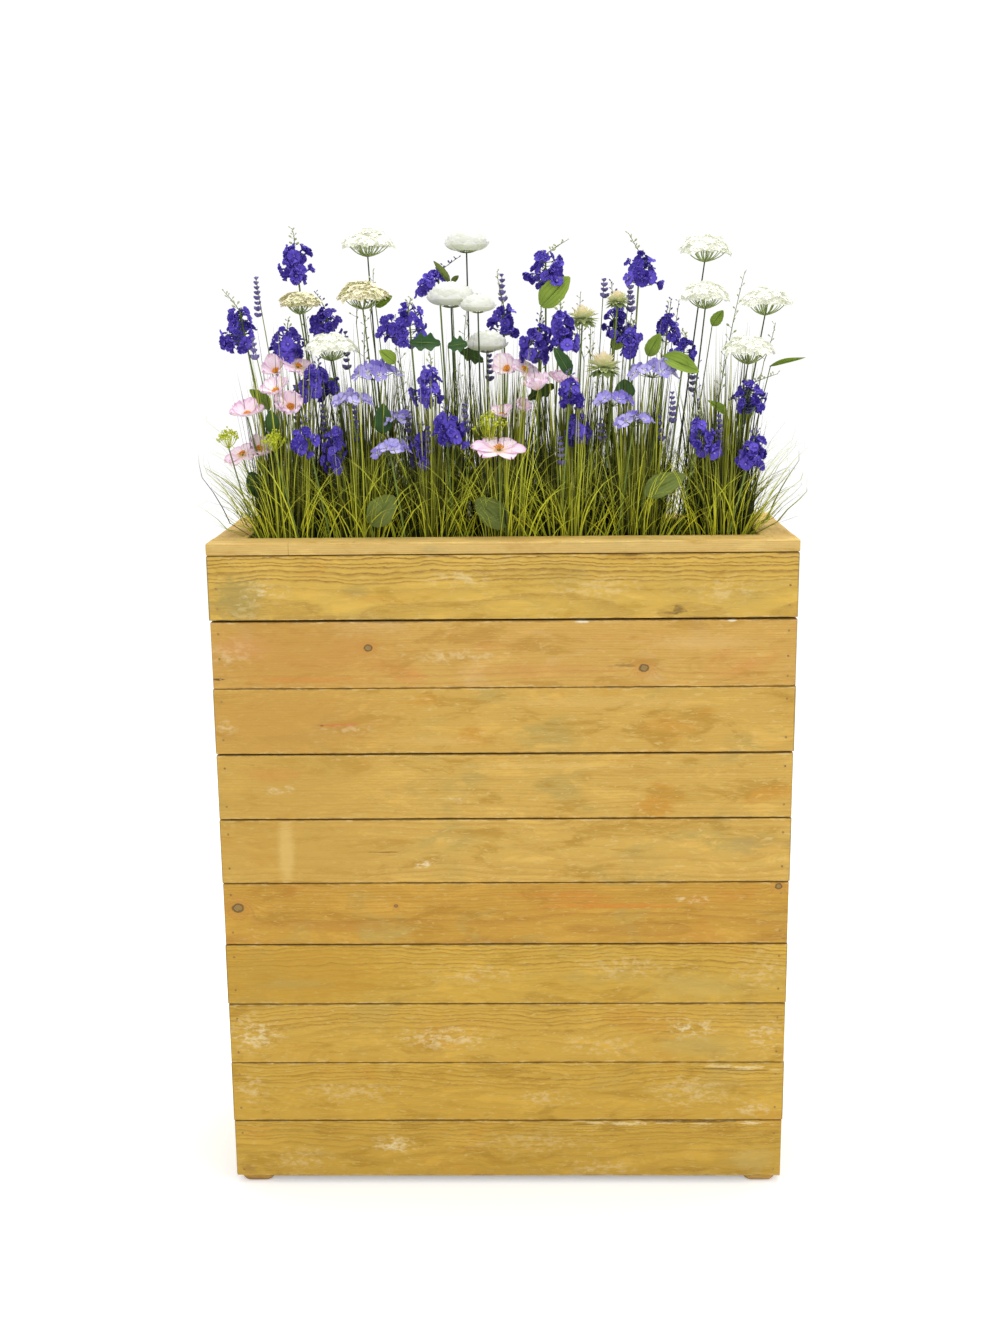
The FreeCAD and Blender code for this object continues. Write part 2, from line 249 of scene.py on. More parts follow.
# %% Noise helpers
def stretch(vector, factors, shift):
    """A vector times three factors, then moved by a shift."""
    longer = put(tree_of(vector), "VectorMath", operation="MULTIPLY")
    moved = put(tree_of(vector), "VectorMath", operation="ADD")
    for made, first, second in ((longer, vector, factors), (moved, longer.outputs[0], shift)):
        feed(made.inputs[0], first)
        feed(made.inputs[1], second)
    return moved.outputs[0]


def cloudy(vector, factors, shift=(0, 0, 0), **inputs):
    """A noise node whose pattern is pulled long by three factors, such as along the grain."""
    given = {"Vector": stretch(vector, factors, shift), "Scale": 1.0, **inputs}
    return put(tree_of(vector), "TexNoise", given)


def mottle(vector, scale, detail=3.0, rough=0.5, shift=(0, 0, 0)):
    """Soft noise, with one scale or with three factors."""
    if isinstance(scale, tuple):
        return cloudy(vector, scale, shift, Detail=detail, Roughness=rough).outputs["Fac"]
    given = {"Vector": vector, "Scale": scale, "Detail": detail, "Roughness": rough}
    return put(tree_of(vector), "TexNoise", given).outputs["Fac"]


print("noise helpers:", cloudy.__name__, "and", mottle.__name__)

# %% Helpers for effects and finishes
def new_effect(name, vectors, numbers, gives):
    """A node group with vector inputs, number inputs that have a value each, and number outputs."""
    tree = bpy.data.node_groups.new(name, "ShaderNodeTree")
    for label in vectors:
        tree.interface.new_socket(name=label, in_out="INPUT", socket_type="NodeSocketVector")
    for label, value in numbers.items():
        socket = tree.interface.new_socket(name=label, in_out="INPUT", socket_type="NodeSocketFloat")
        socket.default_value = value
    for label in gives:
        tree.interface.new_socket(name=label, in_out="OUTPUT", socket_type="NodeSocketFloat")
    return tree, tree.nodes.new("NodeGroupInput").outputs, tree.nodes.new("NodeGroupOutput").inputs


def use_effect(effect, **values):
    """Puts an effect into the tree of the values; a label's spaces are written as underscores."""
    made = put(tree_of(*values.values()), "Group", node_tree=effect)
    for label, value in values.items():
        feed(made.inputs[label.replace("_", " ")], value)
    return made.outputs


def new_finish(name):
    """A material, its shader, and the place on the object in metres."""
    finish = bpy.data.materials.new(name)
    finish.use_nodes = True
    tree = finish.node_tree
    return finish, tree.nodes["Principled BSDF"], put(tree, "TexCoord").outputs["Object"]


def dress(shader, colour, roughness, height, strength, distance):
    """Wires a finish's colour, its roughness, and a height that stands for its fine relief."""
    wire(colour, shader.inputs["Base Color"])
    wire(roughness, shader.inputs["Roughness"])
    bump = put(shader.id_data, "Bump", {"Strength": strength, "Distance": distance, "Height": height})
    wire(bump.outputs[0], shader.inputs["Normal"])


print("effects and finishes can be built")

# %% [markdown]
# Growth rings
#
# A board is cut from a round trunk, so its pattern is a slice through rings. A wave texture would
# draw stripes, but even ones. This effect measures how far a point is from the trunk's middle (the
# pith), lets that line wander slowly along the board, and turns the distance into years: pale early
# wood that darkens to late wood, then a sharp return. Near the pith's height the slice gives
# pointed arches, further off close parallel lines, and the board's ends get their curved rings with
# no extra work.

# %% Growth rings effect
rings_effect, takes, gives = new_effect(
    "growth_rings", ["Place"],
    {"Pith across": 0, "Pith depth": 0.05, "Ring width": 0.003, "Wave": 0.006, "Ripple": 0.0006, "Bend": 0},
    ["Late wood", "Year tone"])
place = takes["Place"]
slow = cloudy(place, (3.2, 6, 6), Detail=2.0).outputs["Color"]
slow_parts = put(rings_effect, "SeparateColor", {"Color": slow}).outputs
quick = mottle(place, (27, 42, 42), 4.0, 0.55)
parts = split(place)
drift = times(minus(slow_parts[0], 0.5), takes["Wave"])
sink = times(minus(slow_parts[1], 0.5), times(takes["Wave"], 2.2))
shake = times(minus(quick, 0.5), takes["Ripple"])
across = minus(plus(parts[1], drift, shake), takes["Pith across"])
depth = plus(parts[2], sink, plus(takes["Bend"], takes["Pith depth"]))
years = reckon("DIVIDE", distance(across, depth), takes["Ring width"])
uneven = put(rings_effect, "TexNoise", {"W": years, "Scale": 0.37, "Detail": 1.0}, noise_dimensions="1D")
years = plus(years, times(uneven.outputs["Fac"], 1.6))
season = reckon("FRACT", years)
wire(times(fade(season, 0.35, 0.9), fade(season, 0.93, 1.0, 1.0, 0.0)), gives["Late wood"])
year_tone = put(rings_effect, "TexWhiteNoise", {"W": reckon("FLOOR", years)}, noise_dimensions="1D")
wire(year_tone.outputs["Value"], gives["Year tone"])
print("built", rings_effect.name)

# %% [markdown]
# Fibres, spots, knots, scuffs and edges
#
# The rings are only half of how wood looks. Fine fibres are noise pulled long along the grain. A
# spot is a soft patch with a ragged outline, used for stains, pale chips, streaks and painted shade.
# A knot is a dark disc with its own rings that pushes the board's rings aside. Scuffs are short pale
# scratches where the surface was rubbed. The long edges get darker where two boards meet, and paler
# along their rounding, partly wear and partly painted highlight. All of it could be painted on an
# image, but noise stays sharp from any distance, and each board can have its own.

# %% Fibre effect
fibre_effect, takes, gives = new_effect(
    "wood_fibres", ["Place"], {}, ["Fibre", "Blotch", "Ripple", "Warmth"])
wire(mottle(takes["Place"], (22, 800, 800), 4.0, 0.62), gives["Fibre"])
for label, factors, shift, detail, rough, bend in (
        ("Blotch", (11, 34, 34), (3, 1, 2), 5.0, 0.62, 0.6),
        ("Ripple", (62, 230, 230), (8, 2, 5), 3.0, 0.6, 0.9),
        ("Warmth", (7, 13, 13), (1, 9, 4), 4.0, 0.55, 0.5)):
    made = cloudy(takes["Place"], factors, shift, Detail=detail, Roughness=rough, Distortion=bend)
    wire(made.outputs["Fac"], gives[label])

# %% Spot effect
spot_effect, takes, gives = new_effect(
    "ragged_spot", ["Place"],
    {"Along": 0, "Across": 0, "Reach along": 0.01, "Reach across": 0.01, "Ragged": 0.5}, ["Mask", "Flecks"])
parts = split(takes["Place"])
one = reckon("DIVIDE", minus(parts[0], takes["Along"]), takes["Reach along"])
two = reckon("DIVIDE", minus(parts[1], takes["Across"]), takes["Reach across"])
tear = minus(mottle(takes["Place"], (90, 330, 330), 4.0, 0.65), 0.5)
from_middle = plus(distance(one, two), times(tear, takes["Ragged"]))
wire(fade(from_middle, 1.0, 0.3), gives["Mask"])
flecks = cloudy(takes["Place"], (95, 170, 170), (4, 7, 2), Detail=4.0, Roughness=0.52, Distortion=0.35)
wide = fade(from_middle, 1.45, 0.1)
wire(times(fade(plus(flecks.outputs["Fac"], times(wide, 0.12)), 0.52, 0.78), wide), gives["Flecks"])

# %% Knot effect
knot_effect, takes, gives = new_effect(
    "board_knot", ["Place"], {"Along": 0, "Across": 0, "Radius": 0.005},
    ["Heart", "Rim", "Halo", "Rings", "Bend"])
parts = split(takes["Place"])
one = reckon("DIVIDE", times(minus(parts[0], takes["Along"]), 0.8), takes["Radius"])
two = reckon("DIVIDE", minus(parts[1], takes["Across"]), takes["Radius"])
from_middle = plus(distance(one, two), times(minus(mottle(takes["Place"], 160.0), 0.5), 0.7))
wire(fade(from_middle, 1.1, 0.85), gives["Heart"])
wire(fade(reckon("ABSOLUTE", minus(from_middle, 1.0)), 0.34, 0.05), gives["Rim"])
wire(fade(from_middle, 4.2, 1.0), gives["Halo"])
wire(reckon("FRACT", times(from_middle, 3.3)), gives["Rings"])
hump = reckon("EXPONENT", times(times(from_middle, from_middle), -0.14))
wire(times(hump, times(takes["Radius"], 2.4)), gives["Bend"])

# %% Scuff effect
scuff_effect, takes, gives = new_effect("pale_scuffs", ["Place"], {"Amount": 0.5}, ["Scratch", "Fleck"])
place, less = takes["Place"], times(takes["Amount"], 0.3)
where = fade(mottle(place, (9, 22, 22), 2.0, shift=(5, 5, 1)), minus(0.78, less), 0.8)
slanted = put(scuff_effect, "Mapping", {"Vector": place, "Rotation": (0, 0, 0.5), "Scale": (130, 620, 620)})
wire(times(where, fade(mottle(slanted.outputs[0], 1.0, 3.0, 0.6), 0.56, 0.66)), gives["Scratch"])
small = fade(mottle(place, (230, 480, 480), 3.0, 0.7, (0, 3, 0)), 0.62, 0.7)
where = fade(mottle(place, (12, 30, 30), 2.0, shift=(1, 8, 4)), minus(0.75, less), 0.8)
wire(times(small, where), gives["Fleck"])

# %% Board edge effect
edge_effect, takes, gives = new_effect(
    "board_edges", ["Place"], {"Middle": 0, "Half width": 0.05, "Half length": 0.44},
    ["Dirt", "Wear and highlight", "End grime"])
parts = split(takes["Place"])
inset = minus(takes["Half width"], reckon("ABSOLUTE", minus(parts[1], takes["Middle"])))
ragged = mottle(takes["Place"], (45, 200, 200), 4.0, 0.65)
reach = reckon("MAXIMUM", times(minus(ragged, 0.4), 0.014), 0.0004)
# Darker along the long edges, where two boards meet.
wire(fade(inset, reach, times(reach, 0.15)), gives["Dirt"])
# Pale along both long edges: partly wear, partly a painted highlight on the rounded edge.
worn_and_lit = fade(mottle(takes["Place"], (60, 260, 260), shift=(7, 0, 3)), 0.5, 0.68)
wire(times(worn_and_lit, fade(inset, 0.005, 0.0006)), gives["Wear and highlight"])
from_end = minus(takes["Half length"], reckon("ABSOLUTE", parts[0]))
wire(fade(minus(from_end, times(ragged, 0.003)), 0.0012, -0.0006), gives["End grime"])
print("built", fibre_effect.name, spot_effect.name, knot_effect.name, scuff_effect.name, edge_effect.name)

# %% [markdown]
# The wood finish
#
# One recipe makes every wooden finish. It swaps the axes so that "along" follows the grain of that
# board, lays the rings in two tones, adds fibres, blotches, stains, patches of painted shade, knots,
# scuffs, darker long edges and a pale edge that is partly wear and partly painted highlight, and uses
# the same masks for roughness and for the fine relief. Each course gets its own values, because no
# two boards in the photograph come from the same part of a tree.

# %% Wood recipe
PALE, BROWN, GREY, ORANGE = (238, 220, 170), (92, 66, 34), (158, 142, 80), (214, 136, 62)


def in_place(effect, place, labels, numbers, **others):
    """Places an effect whose labelled values are given in millimetres."""
    metres = {label: number / 1000 for label, number in zip(labels, numbers)}
    return use_effect(effect, Place=place, **metres, **others)


def wood_finish(name, grain, early, late, pith=(0.0, 0.05), ring=0.003, wave=0.006, ripple=0.0006,
                lines=0.8, lined=None, fibre=0.3, blotch=0.25, mottled=0.3, scuff=0.3,
                middle=0.0, half=10.0, long_half=10.0, edge_darkening=0.6, wear_and_highlight=0.42, spots=(), knots=(),
                pale=(238, 218, 160), warm=(204, 146, 50), cool=(186, 160, 84)):
    """grain names the world axes along, across and through the board, such as XZY.

    early and late are the tones of the wood's rings. middle, half and long_half say in metres where
    the board's edges and ends are; without them it has none. Between the two heights of lined, the
    rings' lines grow from faint to strong.
    """
    finish, shader, spot = new_finish(name)
    local = split(spot)
    along, across, through = (local["XYZ".index(axis)] for axis in grain)
    place = put(finish.node_tree, "CombineXYZ", {"X": along, "Y": across, "Z": through}).outputs[0]
    found = [in_place(knot_effect, place, ("Along", "Across", "Radius"), knot) for knot in knots]
    bend = plus(*[knot["Bend"] for knot in found]) if found else 0.0
    rings = use_effect(rings_effect, Place=place, Pith_across=pith[0], Pith_depth=pith[1], Ring_width=ring,
                       Wave=wave, Ripple=ripple, Bend=bend)
    fibres = use_effect(fibre_effect, Place=place)
    year = reckon("MULTIPLY_ADD", rings["Year tone"], 0.5, 0.5)
    line = times(rings["Late wood"], year, lines, fade(fibres["Ripple"], 0.28, 0.62, 0.45, 1.15))
    if lined:
        reach = reckon("MULTIPLY_ADD", minus(fibres["Warmth"], 0.5), 0.03, across)
        line = times(line, fade(reach, lined[0], lined[1], 0.3, 1.0))
    dull = [early[0] * 0.86, early[1] * 0.82, early[2] * 0.6]
    bright = [min(255, part * 1.07 + 4) for part in early]
    bleached = [(one + two) / 2 for one, two in zip(pale, early)]
    sanded = [(one + two * 2) / 3 for one, two in zip(pale, early)]
    colour = paint(*early)
    for mask, start, end, strength, tone in (
            ("Warmth", 0.56, 0.72, blotch, warm), ("Warmth", 0.46, 0.32, blotch, cool),
            ("Blotch", 0.52, 0.66, mottled, dull), ("Blotch", 0.46, 0.34, mottled, bright)):
        colour = tint(colour, fade(fibres[mask], start, end, 0.0, strength), tone)
    colour = tint(colour, line, late)
    for mask, start, end, strength, tone in (
            ("Ripple", 0.55, 0.72, mottled * 0.9, bleached),
            ("Fibre", 0.46, 0.26, fibre, [part * 0.9 for part in late]),
            ("Fibre", 0.54, 0.74, fibre, sanded)):
        colour = tint(colour, fade(fibres[mask], start, end, 0.0, strength), tone)
    # Pale marks are scattered flecks; the others are soft patches.
    for *numbers, tone, strength, ragged in spots:
        labels = ("Along", "Across", "Reach_along", "Reach_across")
        masks = in_place(spot_effect, place, labels, numbers, Ragged=ragged)
        colour = tint(colour, times(masks["Flecks" if tone == PALE else "Mask"], strength), tone)
    for knot in found:
        colour = tint(colour, times(knot["Halo"], 0.4), (198, 134, 58))
        colour = mix(times(knot["Heart"], 0.9), colour,
                     mix(knot["Rings"], paint(176, 146, 88), paint(112, 92, 54)))
        colour = tint(colour, times(knot["Rim"], 0.75), (88, 74, 46))
    scuffs = use_effect(scuff_effect, Place=place, Amount=scuff)
    edges = use_effect(edge_effect, Place=place, Middle=middle, Half_width=half, Half_length=long_half)
    # The pale edge mask is partly wear and partly a painted highlight on the rounded edges.
    for mask, strength, tone in (
            (scuffs["Scratch"], scuff * 0.8, pale), (scuffs["Fleck"], scuff, pale),
            (edges["Wear and highlight"], wear_and_highlight, pale), (edges["End grime"], 0.6, (118, 104, 58)),
            (edges["Dirt"], edge_darkening, (112, 84, 36))):
        colour = tint(colour, times(mask, strength), tone)
    roughness = fade(plus(fibres["Fibre"], times(line, 0.3)), 0.2, 1.0, 0.76, 0.5)
    height = plus(times(fibres["Fibre"], 0.8), times(line, 0.55), times(fibres["Ripple"], 0.8))
    height = minus(height, times(scuffs["Scratch"], 0.5))
    for knot in found:
        height = minus(height, times(knot["Rim"], 1.2))
    dress(shader, colour, roughness, height, 0.6, 0.0009)
    shader.inputs["Specular IOR Level"].default_value = 0.3
    return finish


print("the wood recipe is ready")

# %% [markdown]
# The courses
#
# The photograph shows ten courses. The top one and the lower four are rough and lined, the others
# smoother and more evenly coloured. Random values would be quicker to write, but the front would
# then be another planter's. The first table holds, per course from the top, two tones, where the
# pith lay in metres, how far apart the rings are, how much they wander, and how strong the lines,
# fibres, blotches and scuffs are. Lined courses have two heights between which the lines grow
# strong. The second table holds each front board's marks in millimetres: stains, flecks and painted
# shade as (along, up, reach along, reach up, colour, strength, raggedness) and knots as (along, up,
# radius). The first mark of courses 2, 3, 4, 5 and 7 darkens the left end: painted shade, where the
# light falls off to the left.

# %% Tones of the courses
course_columns = ("early", "late", "pith", "ring", "wave", "ripple", "lines", "fibre", "blotch", "mottled",
                  "scuff")
course_rows = [
    ((214, 175, 79), (140, 98, 36), (0.94, 0.03), 0.0031, 0.008, 0.0115, 1.0, 0.3, 0.42, 0.55, 0.35),
    ((209, 166, 83), (180, 124, 52), (0.8, 0.06), 0.0026, 0.004, 0.004, 0.34, 0.32, 0.8, 0.55, 0.22),
    ((209, 168, 80), (186, 140, 62), (0.69, 0.08), 0.0026, 0.004, 0.004, 0.3, 0.38, 0.85, 0.7, 0.14),
    ((211, 171, 83), (178, 130, 54), (0.6, 0.05), 0.0024, 0.005, 0.004, 0.36, 0.38, 0.8, 0.7, 0.17),
    ((211, 171, 83), (178, 130, 52), (0.572, 0.028), 0.0026, 0.007, 0.004, 0.45, 0.38, 0.8, 0.7, 0.17),
    ((200, 154, 60), (166, 112, 40), (0.43, 0.052), 0.0026, 0.005, 0.004, 0.42, 0.4, 0.7, 0.58, 0.14),
    ((207, 166, 66), (150, 110, 34), (0.32, 0.03), 0.0029, 0.009, 0.0115, 0.75, 0.3, 0.42, 0.55, 0.35),
    ((206, 165, 67), (150, 110, 38), (0.225, 0.028), 0.003, 0.01, 0.0125, 0.7, 0.3, 0.42, 0.6, 0.5),
    ((204, 163, 63), (148, 108, 36), (0.12, 0.03), 0.003, 0.01, 0.0125, 0.62, 0.3, 0.42, 0.6, 0.45),
    ((200, 160, 62), (146, 108, 38), (0.02, 0.034), 0.0031, 0.01, 0.0125, 0.58, 0.3, 0.42, 0.6, 0.45)]
courses = {number: dict(zip(course_columns, row)) for number, row in enumerate(course_rows, 1)}
for number, lined in ((1, (0.976, 0.99)), (7, (0.352, 0.38)), (8, (0.25, 0.284)), (9, (0.15, 0.182)),
                      (10, (0.04, 0.09))):
    courses[number]["lined"] = lined
courses[2].update(warm=(214, 152, 78), cool=(214, 176, 112))
courses[6].update(warm=(206, 142, 54))
print(len(courses), "courses, from", courses[1]["early"], "at the top to", courses[10]["early"])

# %% Marks of the front boards
front_spots = {
    1: [(-396, 962, 52, 44, GREY, 0.62, 1.6), (-220, 972, 30, 14, GREY, 0.4, 1.8),
        (-362, 972, 40, 22, PALE, 0.6, 1.6), (-385, 940, 36, 20, PALE, 0.3, 1.6),
        (264, 941, 11, 8, BROWN, 0.6, 3.0), (250, 936, 18, 3, BROWN, 0.5, 2.4),
        (-300, 932, 120, 5, (168, 128, 60), 0.5, 2.4), (190, 1024, 26, 3, BROWN, 0.7, 1.8),
        (-60, 990, 60, 14, PALE, 0.4, 1.8), (140, 975, 80, 20, PALE, 0.3, 1.8),
        (330, 968, 60, 24, PALE, 0.3, 1.8)],
    # Painted shade: the first mark darkens the left end, where the light falls off.
    2: [(-330, 878, 230, 90, (196, 146, 66), 0.6, 1.3), (-409, 878, 40, 24, PALE, 0.42, 1.6),
        (-69, 871, 92, 12, PALE, 0.42, 1.6), (-429, 838, 14, 2.6, BROWN, 0.9, 1.6),
        (-300, 837, 110, 6, ORANGE, 0.42, 1.8), (-230, 888, 40, 18, (206, 150, 76), 0.5, 1.4),
        (118, 924, 14, 3, (246, 236, 206), 0.9, 1.2), (342, 924, 9, 3, (246, 236, 206), 0.9, 1.2),
        (183, 856, 26, 3.2, BROWN, 0.45, 1.8), (60, 850, 150, 14, (204, 148, 78), 0.4, 1.8),
        (-390, 886, 60, 22, (216, 152, 92), 0.4, 1.8), (300, 890, 110, 16, (222, 182, 112), 0.5, 1.8)],
    # Painted shade: the first mark darkens the left end, where the light falls off.
    3: [(-330, 770, 230, 90, (196, 146, 66), 0.6, 1.3), (-250, 766, 46, 3.6, (208, 112, 62), 0.5, 3.2),
        (-276, 765, 4, 2.2, (140, 50, 34), 0.7, 1.4), (-425, 762, 20, 14, PALE, 0.45, 1.6),
        (-235, 758, 50, 8, PALE, 0.32, 1.8), (150, 800, 190, 12, (220, 182, 104), 0.4, 1.8),
        (-330, 745, 60, 10, (188, 146, 66), 0.4, 2.0), (-100, 740, 90, 10, (226, 186, 110), 0.3, 2.0)],
    # Painted shade: the first mark darkens the left end, where the light falls off.
    4: [(-330, 670, 230, 90, (198, 156, 70), 0.6, 1.3), (-350, 688, 62, 15, (212, 148, 68), 0.4, 1.8),
        (-345, 664, 36, 7, PALE, 0.6, 1.6), (-76, 647, 30, 10, PALE, 0.5, 1.6),
        (250, 690, 200, 5, (190, 142, 62), 0.4, 2.0), (60, 700, 140, 6, (226, 190, 112), 0.4, 2.0)],
    # Painted shade: the first mark darkens the left end, where the light falls off.
    5: [(-330, 568, 230, 90, (198, 156, 70), 0.6, 1.3), (-338, 565, 17, 80, (230, 196, 118), 0.55, 0.9),
        (-185, 563, 34, 1.6, BROWN, 0.6, 1.4), (-124, 542, 18, 8, PALE, 0.95, 1.4),
        (369, 572, 34, 18, (170, 148, 90), 0.45, 2.0), (-192, 582, 80, 4, (188, 140, 60), 0.4, 2.2)],
    6: [(180, 474, 130, 4.6, (216, 128, 44), 0.55, 2.2), (60, 492, 90, 4, (210, 134, 50), 0.35, 2.2),
        (289, 484, 34, 7, PALE, 0.8, 1.6), (-250, 440, 130, 12, (186, 130, 50), 0.4, 2.0)],
    # Painted shade: the first mark darkens the left end, where the light falls off.
    7: [(-330, 365, 230, 90, (190, 144, 46), 0.6, 1.3), (-50, 360, 90, 20, PALE, 0.3, 1.8),
        (190, 372, 90, 22, PALE, 0.35, 1.8), (-330, 345, 70, 12, (186, 158, 80), 0.5, 2.2),
        (395, 365, 44, 36, PALE, 0.35, 1.8), (300, 340, 100, 30, (196, 170, 92), 0.5, 2.0)],
    8: [(-400, 259, 48, 34, PALE, 0.7, 1.5), (-98, 253, 84, 24, PALE, 0.6, 1.6),
        (287, 268, 46, 22, PALE, 0.75, 1.5), (80, 300, 40, 3, BROWN, 0.3, 2.2),
        (150, 240, 80, 24, PALE, 0.3, 1.8), (404, 258, 34, 34, PALE, 0.5, 1.6),
        (300, 240, 90, 24, (190, 166, 92), 0.5, 2.0)],
    9: [(338, 204, 34, 3.6, (234, 208, 144), 0.7, 3.0), (384, 201, 30, 5.2, (238, 214, 152), 0.75, 3.2),
        (424, 197, 14, 2.8, (232, 206, 142), 0.6, 3.0), (330, 199, 66, 1.5, BROWN, 0.7, 2.0),
        (385, 196, 50, 1.3, BROWN, 0.6, 2.0), (-250, 160, 90, 22, PALE, 0.3, 1.8),
        (60, 150, 50, 20, PALE, 0.35, 1.8), (300, 160, 80, 30, PALE, 0.35, 1.8),
        (390, 130, 40, 16, PALE, 0.5, 1.8), (-408, 165, 30, 28, PALE, 0.4, 1.6)],
    10: [(-182, 67, 36, 18, PALE, 0.8, 1.5), (142, 105, 20, 2.8, (236, 214, 154), 0.65, 3.0),
         (196, 104, 30, 4.2, (240, 220, 166), 0.7, 3.2), (250, 105, 16, 2.6, (234, 210, 150), 0.6, 3.0),
         (312, 104, 22, 3.0, (236, 214, 156), 0.6, 3.2), (388, 105, 20, 4.0, (240, 220, 166), 0.7, 3.0),
         (300, 107, 90, 2, BROWN, 0.8, 1.8), (120, 103, 30, 1.6, BROWN, 0.6, 1.8),
         (-420, 24, 20, 12, (150, 112, 52), 0.5, 1.8), (30, 70, 120, 24, PALE, 0.25, 1.8),
         (-330, 40, 60, 24, PALE, 0.3, 1.8), (150, 26, 60, 18, PALE, 0.35, 1.8),
         (395, 40, 44, 30, (196, 170, 96), 0.5, 2.0)],
}
front_knots = {
    2: [(-202.5, 885.4, 4.6), (211.5, 852.1, 5.2)],
    6: [(-417, 472.4, 6.4), (-170.2, 474.8, 2.2), (423, 505, 4.0)],
}
marks_in_all = sum(len(marks) for table in (front_spots, front_knots) for marks in table.values())
print(marks_in_all, "marks on the front")

# %% [markdown]
# Sawn boards
#
# A real board isn't a box: its long edges are slightly rubbed, its thickness wavers and its corners
# have lost small chips. A bevel modifier would round all edges alike. Here each board is a rounded
# outline that is carried along the CAD board's length in short steps. At every step the four long
# edges give way by a little noise, and by chips at stated places. All of this goes inwards, so the
# board stays inside the CAD's box.

# %% Board maker
def wander(length_mm, positions, reach, seed):
    """A smooth random line from 0 to 1 along the board; reach is the distance in mm between its turns."""
    turns = np.random.default_rng(seed).random(int(length_mm / reach) + 4)
    return np.interp((positions - positions[0]) / reach, np.arange(len(turns)), turns)


def sawn_board(name, node, axes, finish, round_mm=1.1, step=3.0, chips=(), rub=0.35, seed=0):
    """axes gives the world axes of the board's length, width and thickness, such as (0, 2, 1).

    It works in millimetres. round_mm is the radius of the long edges, step the distance between two
    outlines, and rub how much the edges have given way.
    """
    low, high = (np.array(corner) * 1000 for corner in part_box(node))
    length, width, thick = axes
    half = np.array([high[width] - low[width], high[thick] - low[thick]]) / 2
    centre = np.array([high[width] + low[width], high[thick] + low[thick]]) / 2
    ends = np.array([0, 0.35, 1.0])
    inner = np.arange(low[length] + 1.0 + step, high[length] - 1.0 - step / 2, step)
    along = np.concatenate([low[length] + ends, inner, high[length] - ends[::-1]])
    shrink = np.zeros(len(along))
    shrink[[0, 1, -2, -1]] = [0.7, 0.2, 0.2, 0.7]

    def line(reach, number):
        return wander(high[length] - low[length], along, reach, number)

    given_way = np.zeros((len(along), 4))
    for corner in range(4):
        own = seed * 40 + corner
        coarse = line(45, own + 10)
        lost = line(4, own + 20) * (line(30, own + 30) > 0.82)
        given_way[:, corner] = rub * (0.55 * line(6, own) + 0.7 * coarse * coarse)
        given_way[:, corner] += lost * rub * 1.6
    for at, corner, size, reach in chips:
        shape = np.exp(-(((along - at) / reach) ** 2)) * (0.55 + 0.6 * line(3.5, seed + int(at) + 9000))
        given_way[:, corner] += size * shape
    # The corners run round the outline, and each is an arc of four points.
    arcs = []
    for corner, signs in enumerate(((1, -1), (1, 1), (-1, 1), (-1, -1))):
        radius = (round_mm + given_way[:, corner])[:, None]
        middle = np.array(signs) * (half - radius - shrink[:, None])
        angles = [math.radians((270 + corner * 90) % 360 + angle) for angle in (0, 30, 60, 90)]
        arcs.append([middle + np.array([math.cos(angle), math.sin(angle)]) * radius for angle in angles])
    columns = []
    for corner, arc in enumerate(arcs):
        before, after = arc[-1], arcs[(corner + 1) % 4][0]
        shares = (0.25, 0.5, 0.75) if corner in (1, 3) else (0.5,)
        columns += arc + [before * (1 - share) + after * share for share in shares]
    outline = np.stack(columns, 1)
    dip = 0.25 * (line(70, seed * 40 + 35)[:, None] * (np.abs(outline[..., 1]) > half[1] - 0.9))
    outline[..., 1] -= np.sign(outline[..., 1]) * dip
    points = np.zeros((*outline.shape[:2], 3))
    points[..., length] = along[:, None]
    points[..., width] = centre[0] + outline[..., 0]
    points[..., thick] = centre[1] + outline[..., 1]
    count = outline.shape[1]
    faces = sheet_faces(len(along), count, closed=True)
    half_way = np.arange(count // 2 - 1)
    end = np.stack([half_way, half_way + 1, count - 2 - half_way, count - 1 - half_way], -1)
    last = (len(along) - 1) * count
    faces = np.concatenate([faces, end[:, ::-1], end + last])
    if np.linalg.det(np.eye(3)[[length, width, thick]]) > 0:
        faces = faces[:, ::-1]
    board = Heap()
    board.add(points / 1000, faces)
    board.make(name, [finish], "box", [node])


print("the board maker is ready")

# %% [markdown]
# The walls
#
# Each course goes round the box at the same height, so its four boards share their tones. Copies of
# one board would also share its marks, so each is made anew: the front one has the marks of the
# photograph, and the others have knots at random places. Chips are given in millimetres as (along,
# corner, size, reach). Most are on the top edges of the ninth and tenth front boards, and a
# corner is broken at the bottom left.

# %% Walls
front_chips = {
    1: [(-320, 0, 0.8, 20), (190, 0, 1.2, 30), (-420, 3, 1.2, 9)],
    2: [(118, 0, 1.6, 12), (342, 0, 1.5, 8), (-437, 3, 1.5, 8)],
    3: [(-300, 0, 0.7, 30), (430, 3, 1.0, 8)],
    4: [(-100, 3, 0.8, 20), (260, 0, 0.8, 16)],
    5: [(40, 0, 0.7, 24)],
    6: [(-30, 3, 0.9, 18), (-436, 0, 1.3, 6), (330, 0, 0.8, 20)],
    7: [(180, 0, 1.0, 16), (-210, 3, 0.9, 22)],
    8: [(-330, 0, 1.2, 20), (60, 3, 1.1, 26), (300, 0, 1.0, 15)],
    9: [(320, 0, 2.0, 14), (362, 0, 2.6, 18), (410, 0, 2.0, 14), (-120, 3, 1.0, 25), (120, 0, 1.1, 30)],
    10: [(140, 0, 1.8, 14), (200, 0, 2.2, 24), (262, 0, 1.8, 14), (330, 0, 2.4, 22), (392, 0, 1.8, 12),
         (-436, 3, 4.5, 8), (105, 3, 1.2, 10), (-60, 0, 1.0, 20)],
}
stray = np.random.default_rng(11)


def stray_knots(counts, reach, middle_mm):
    """Knots at random places, for a board that the photograph does not show."""
    return [(stray.uniform(-reach, reach), middle_mm + stray.uniform(-34, 34), stray.uniform(2.4, 7.0))
            for _ in range(stray.choice(counts))]


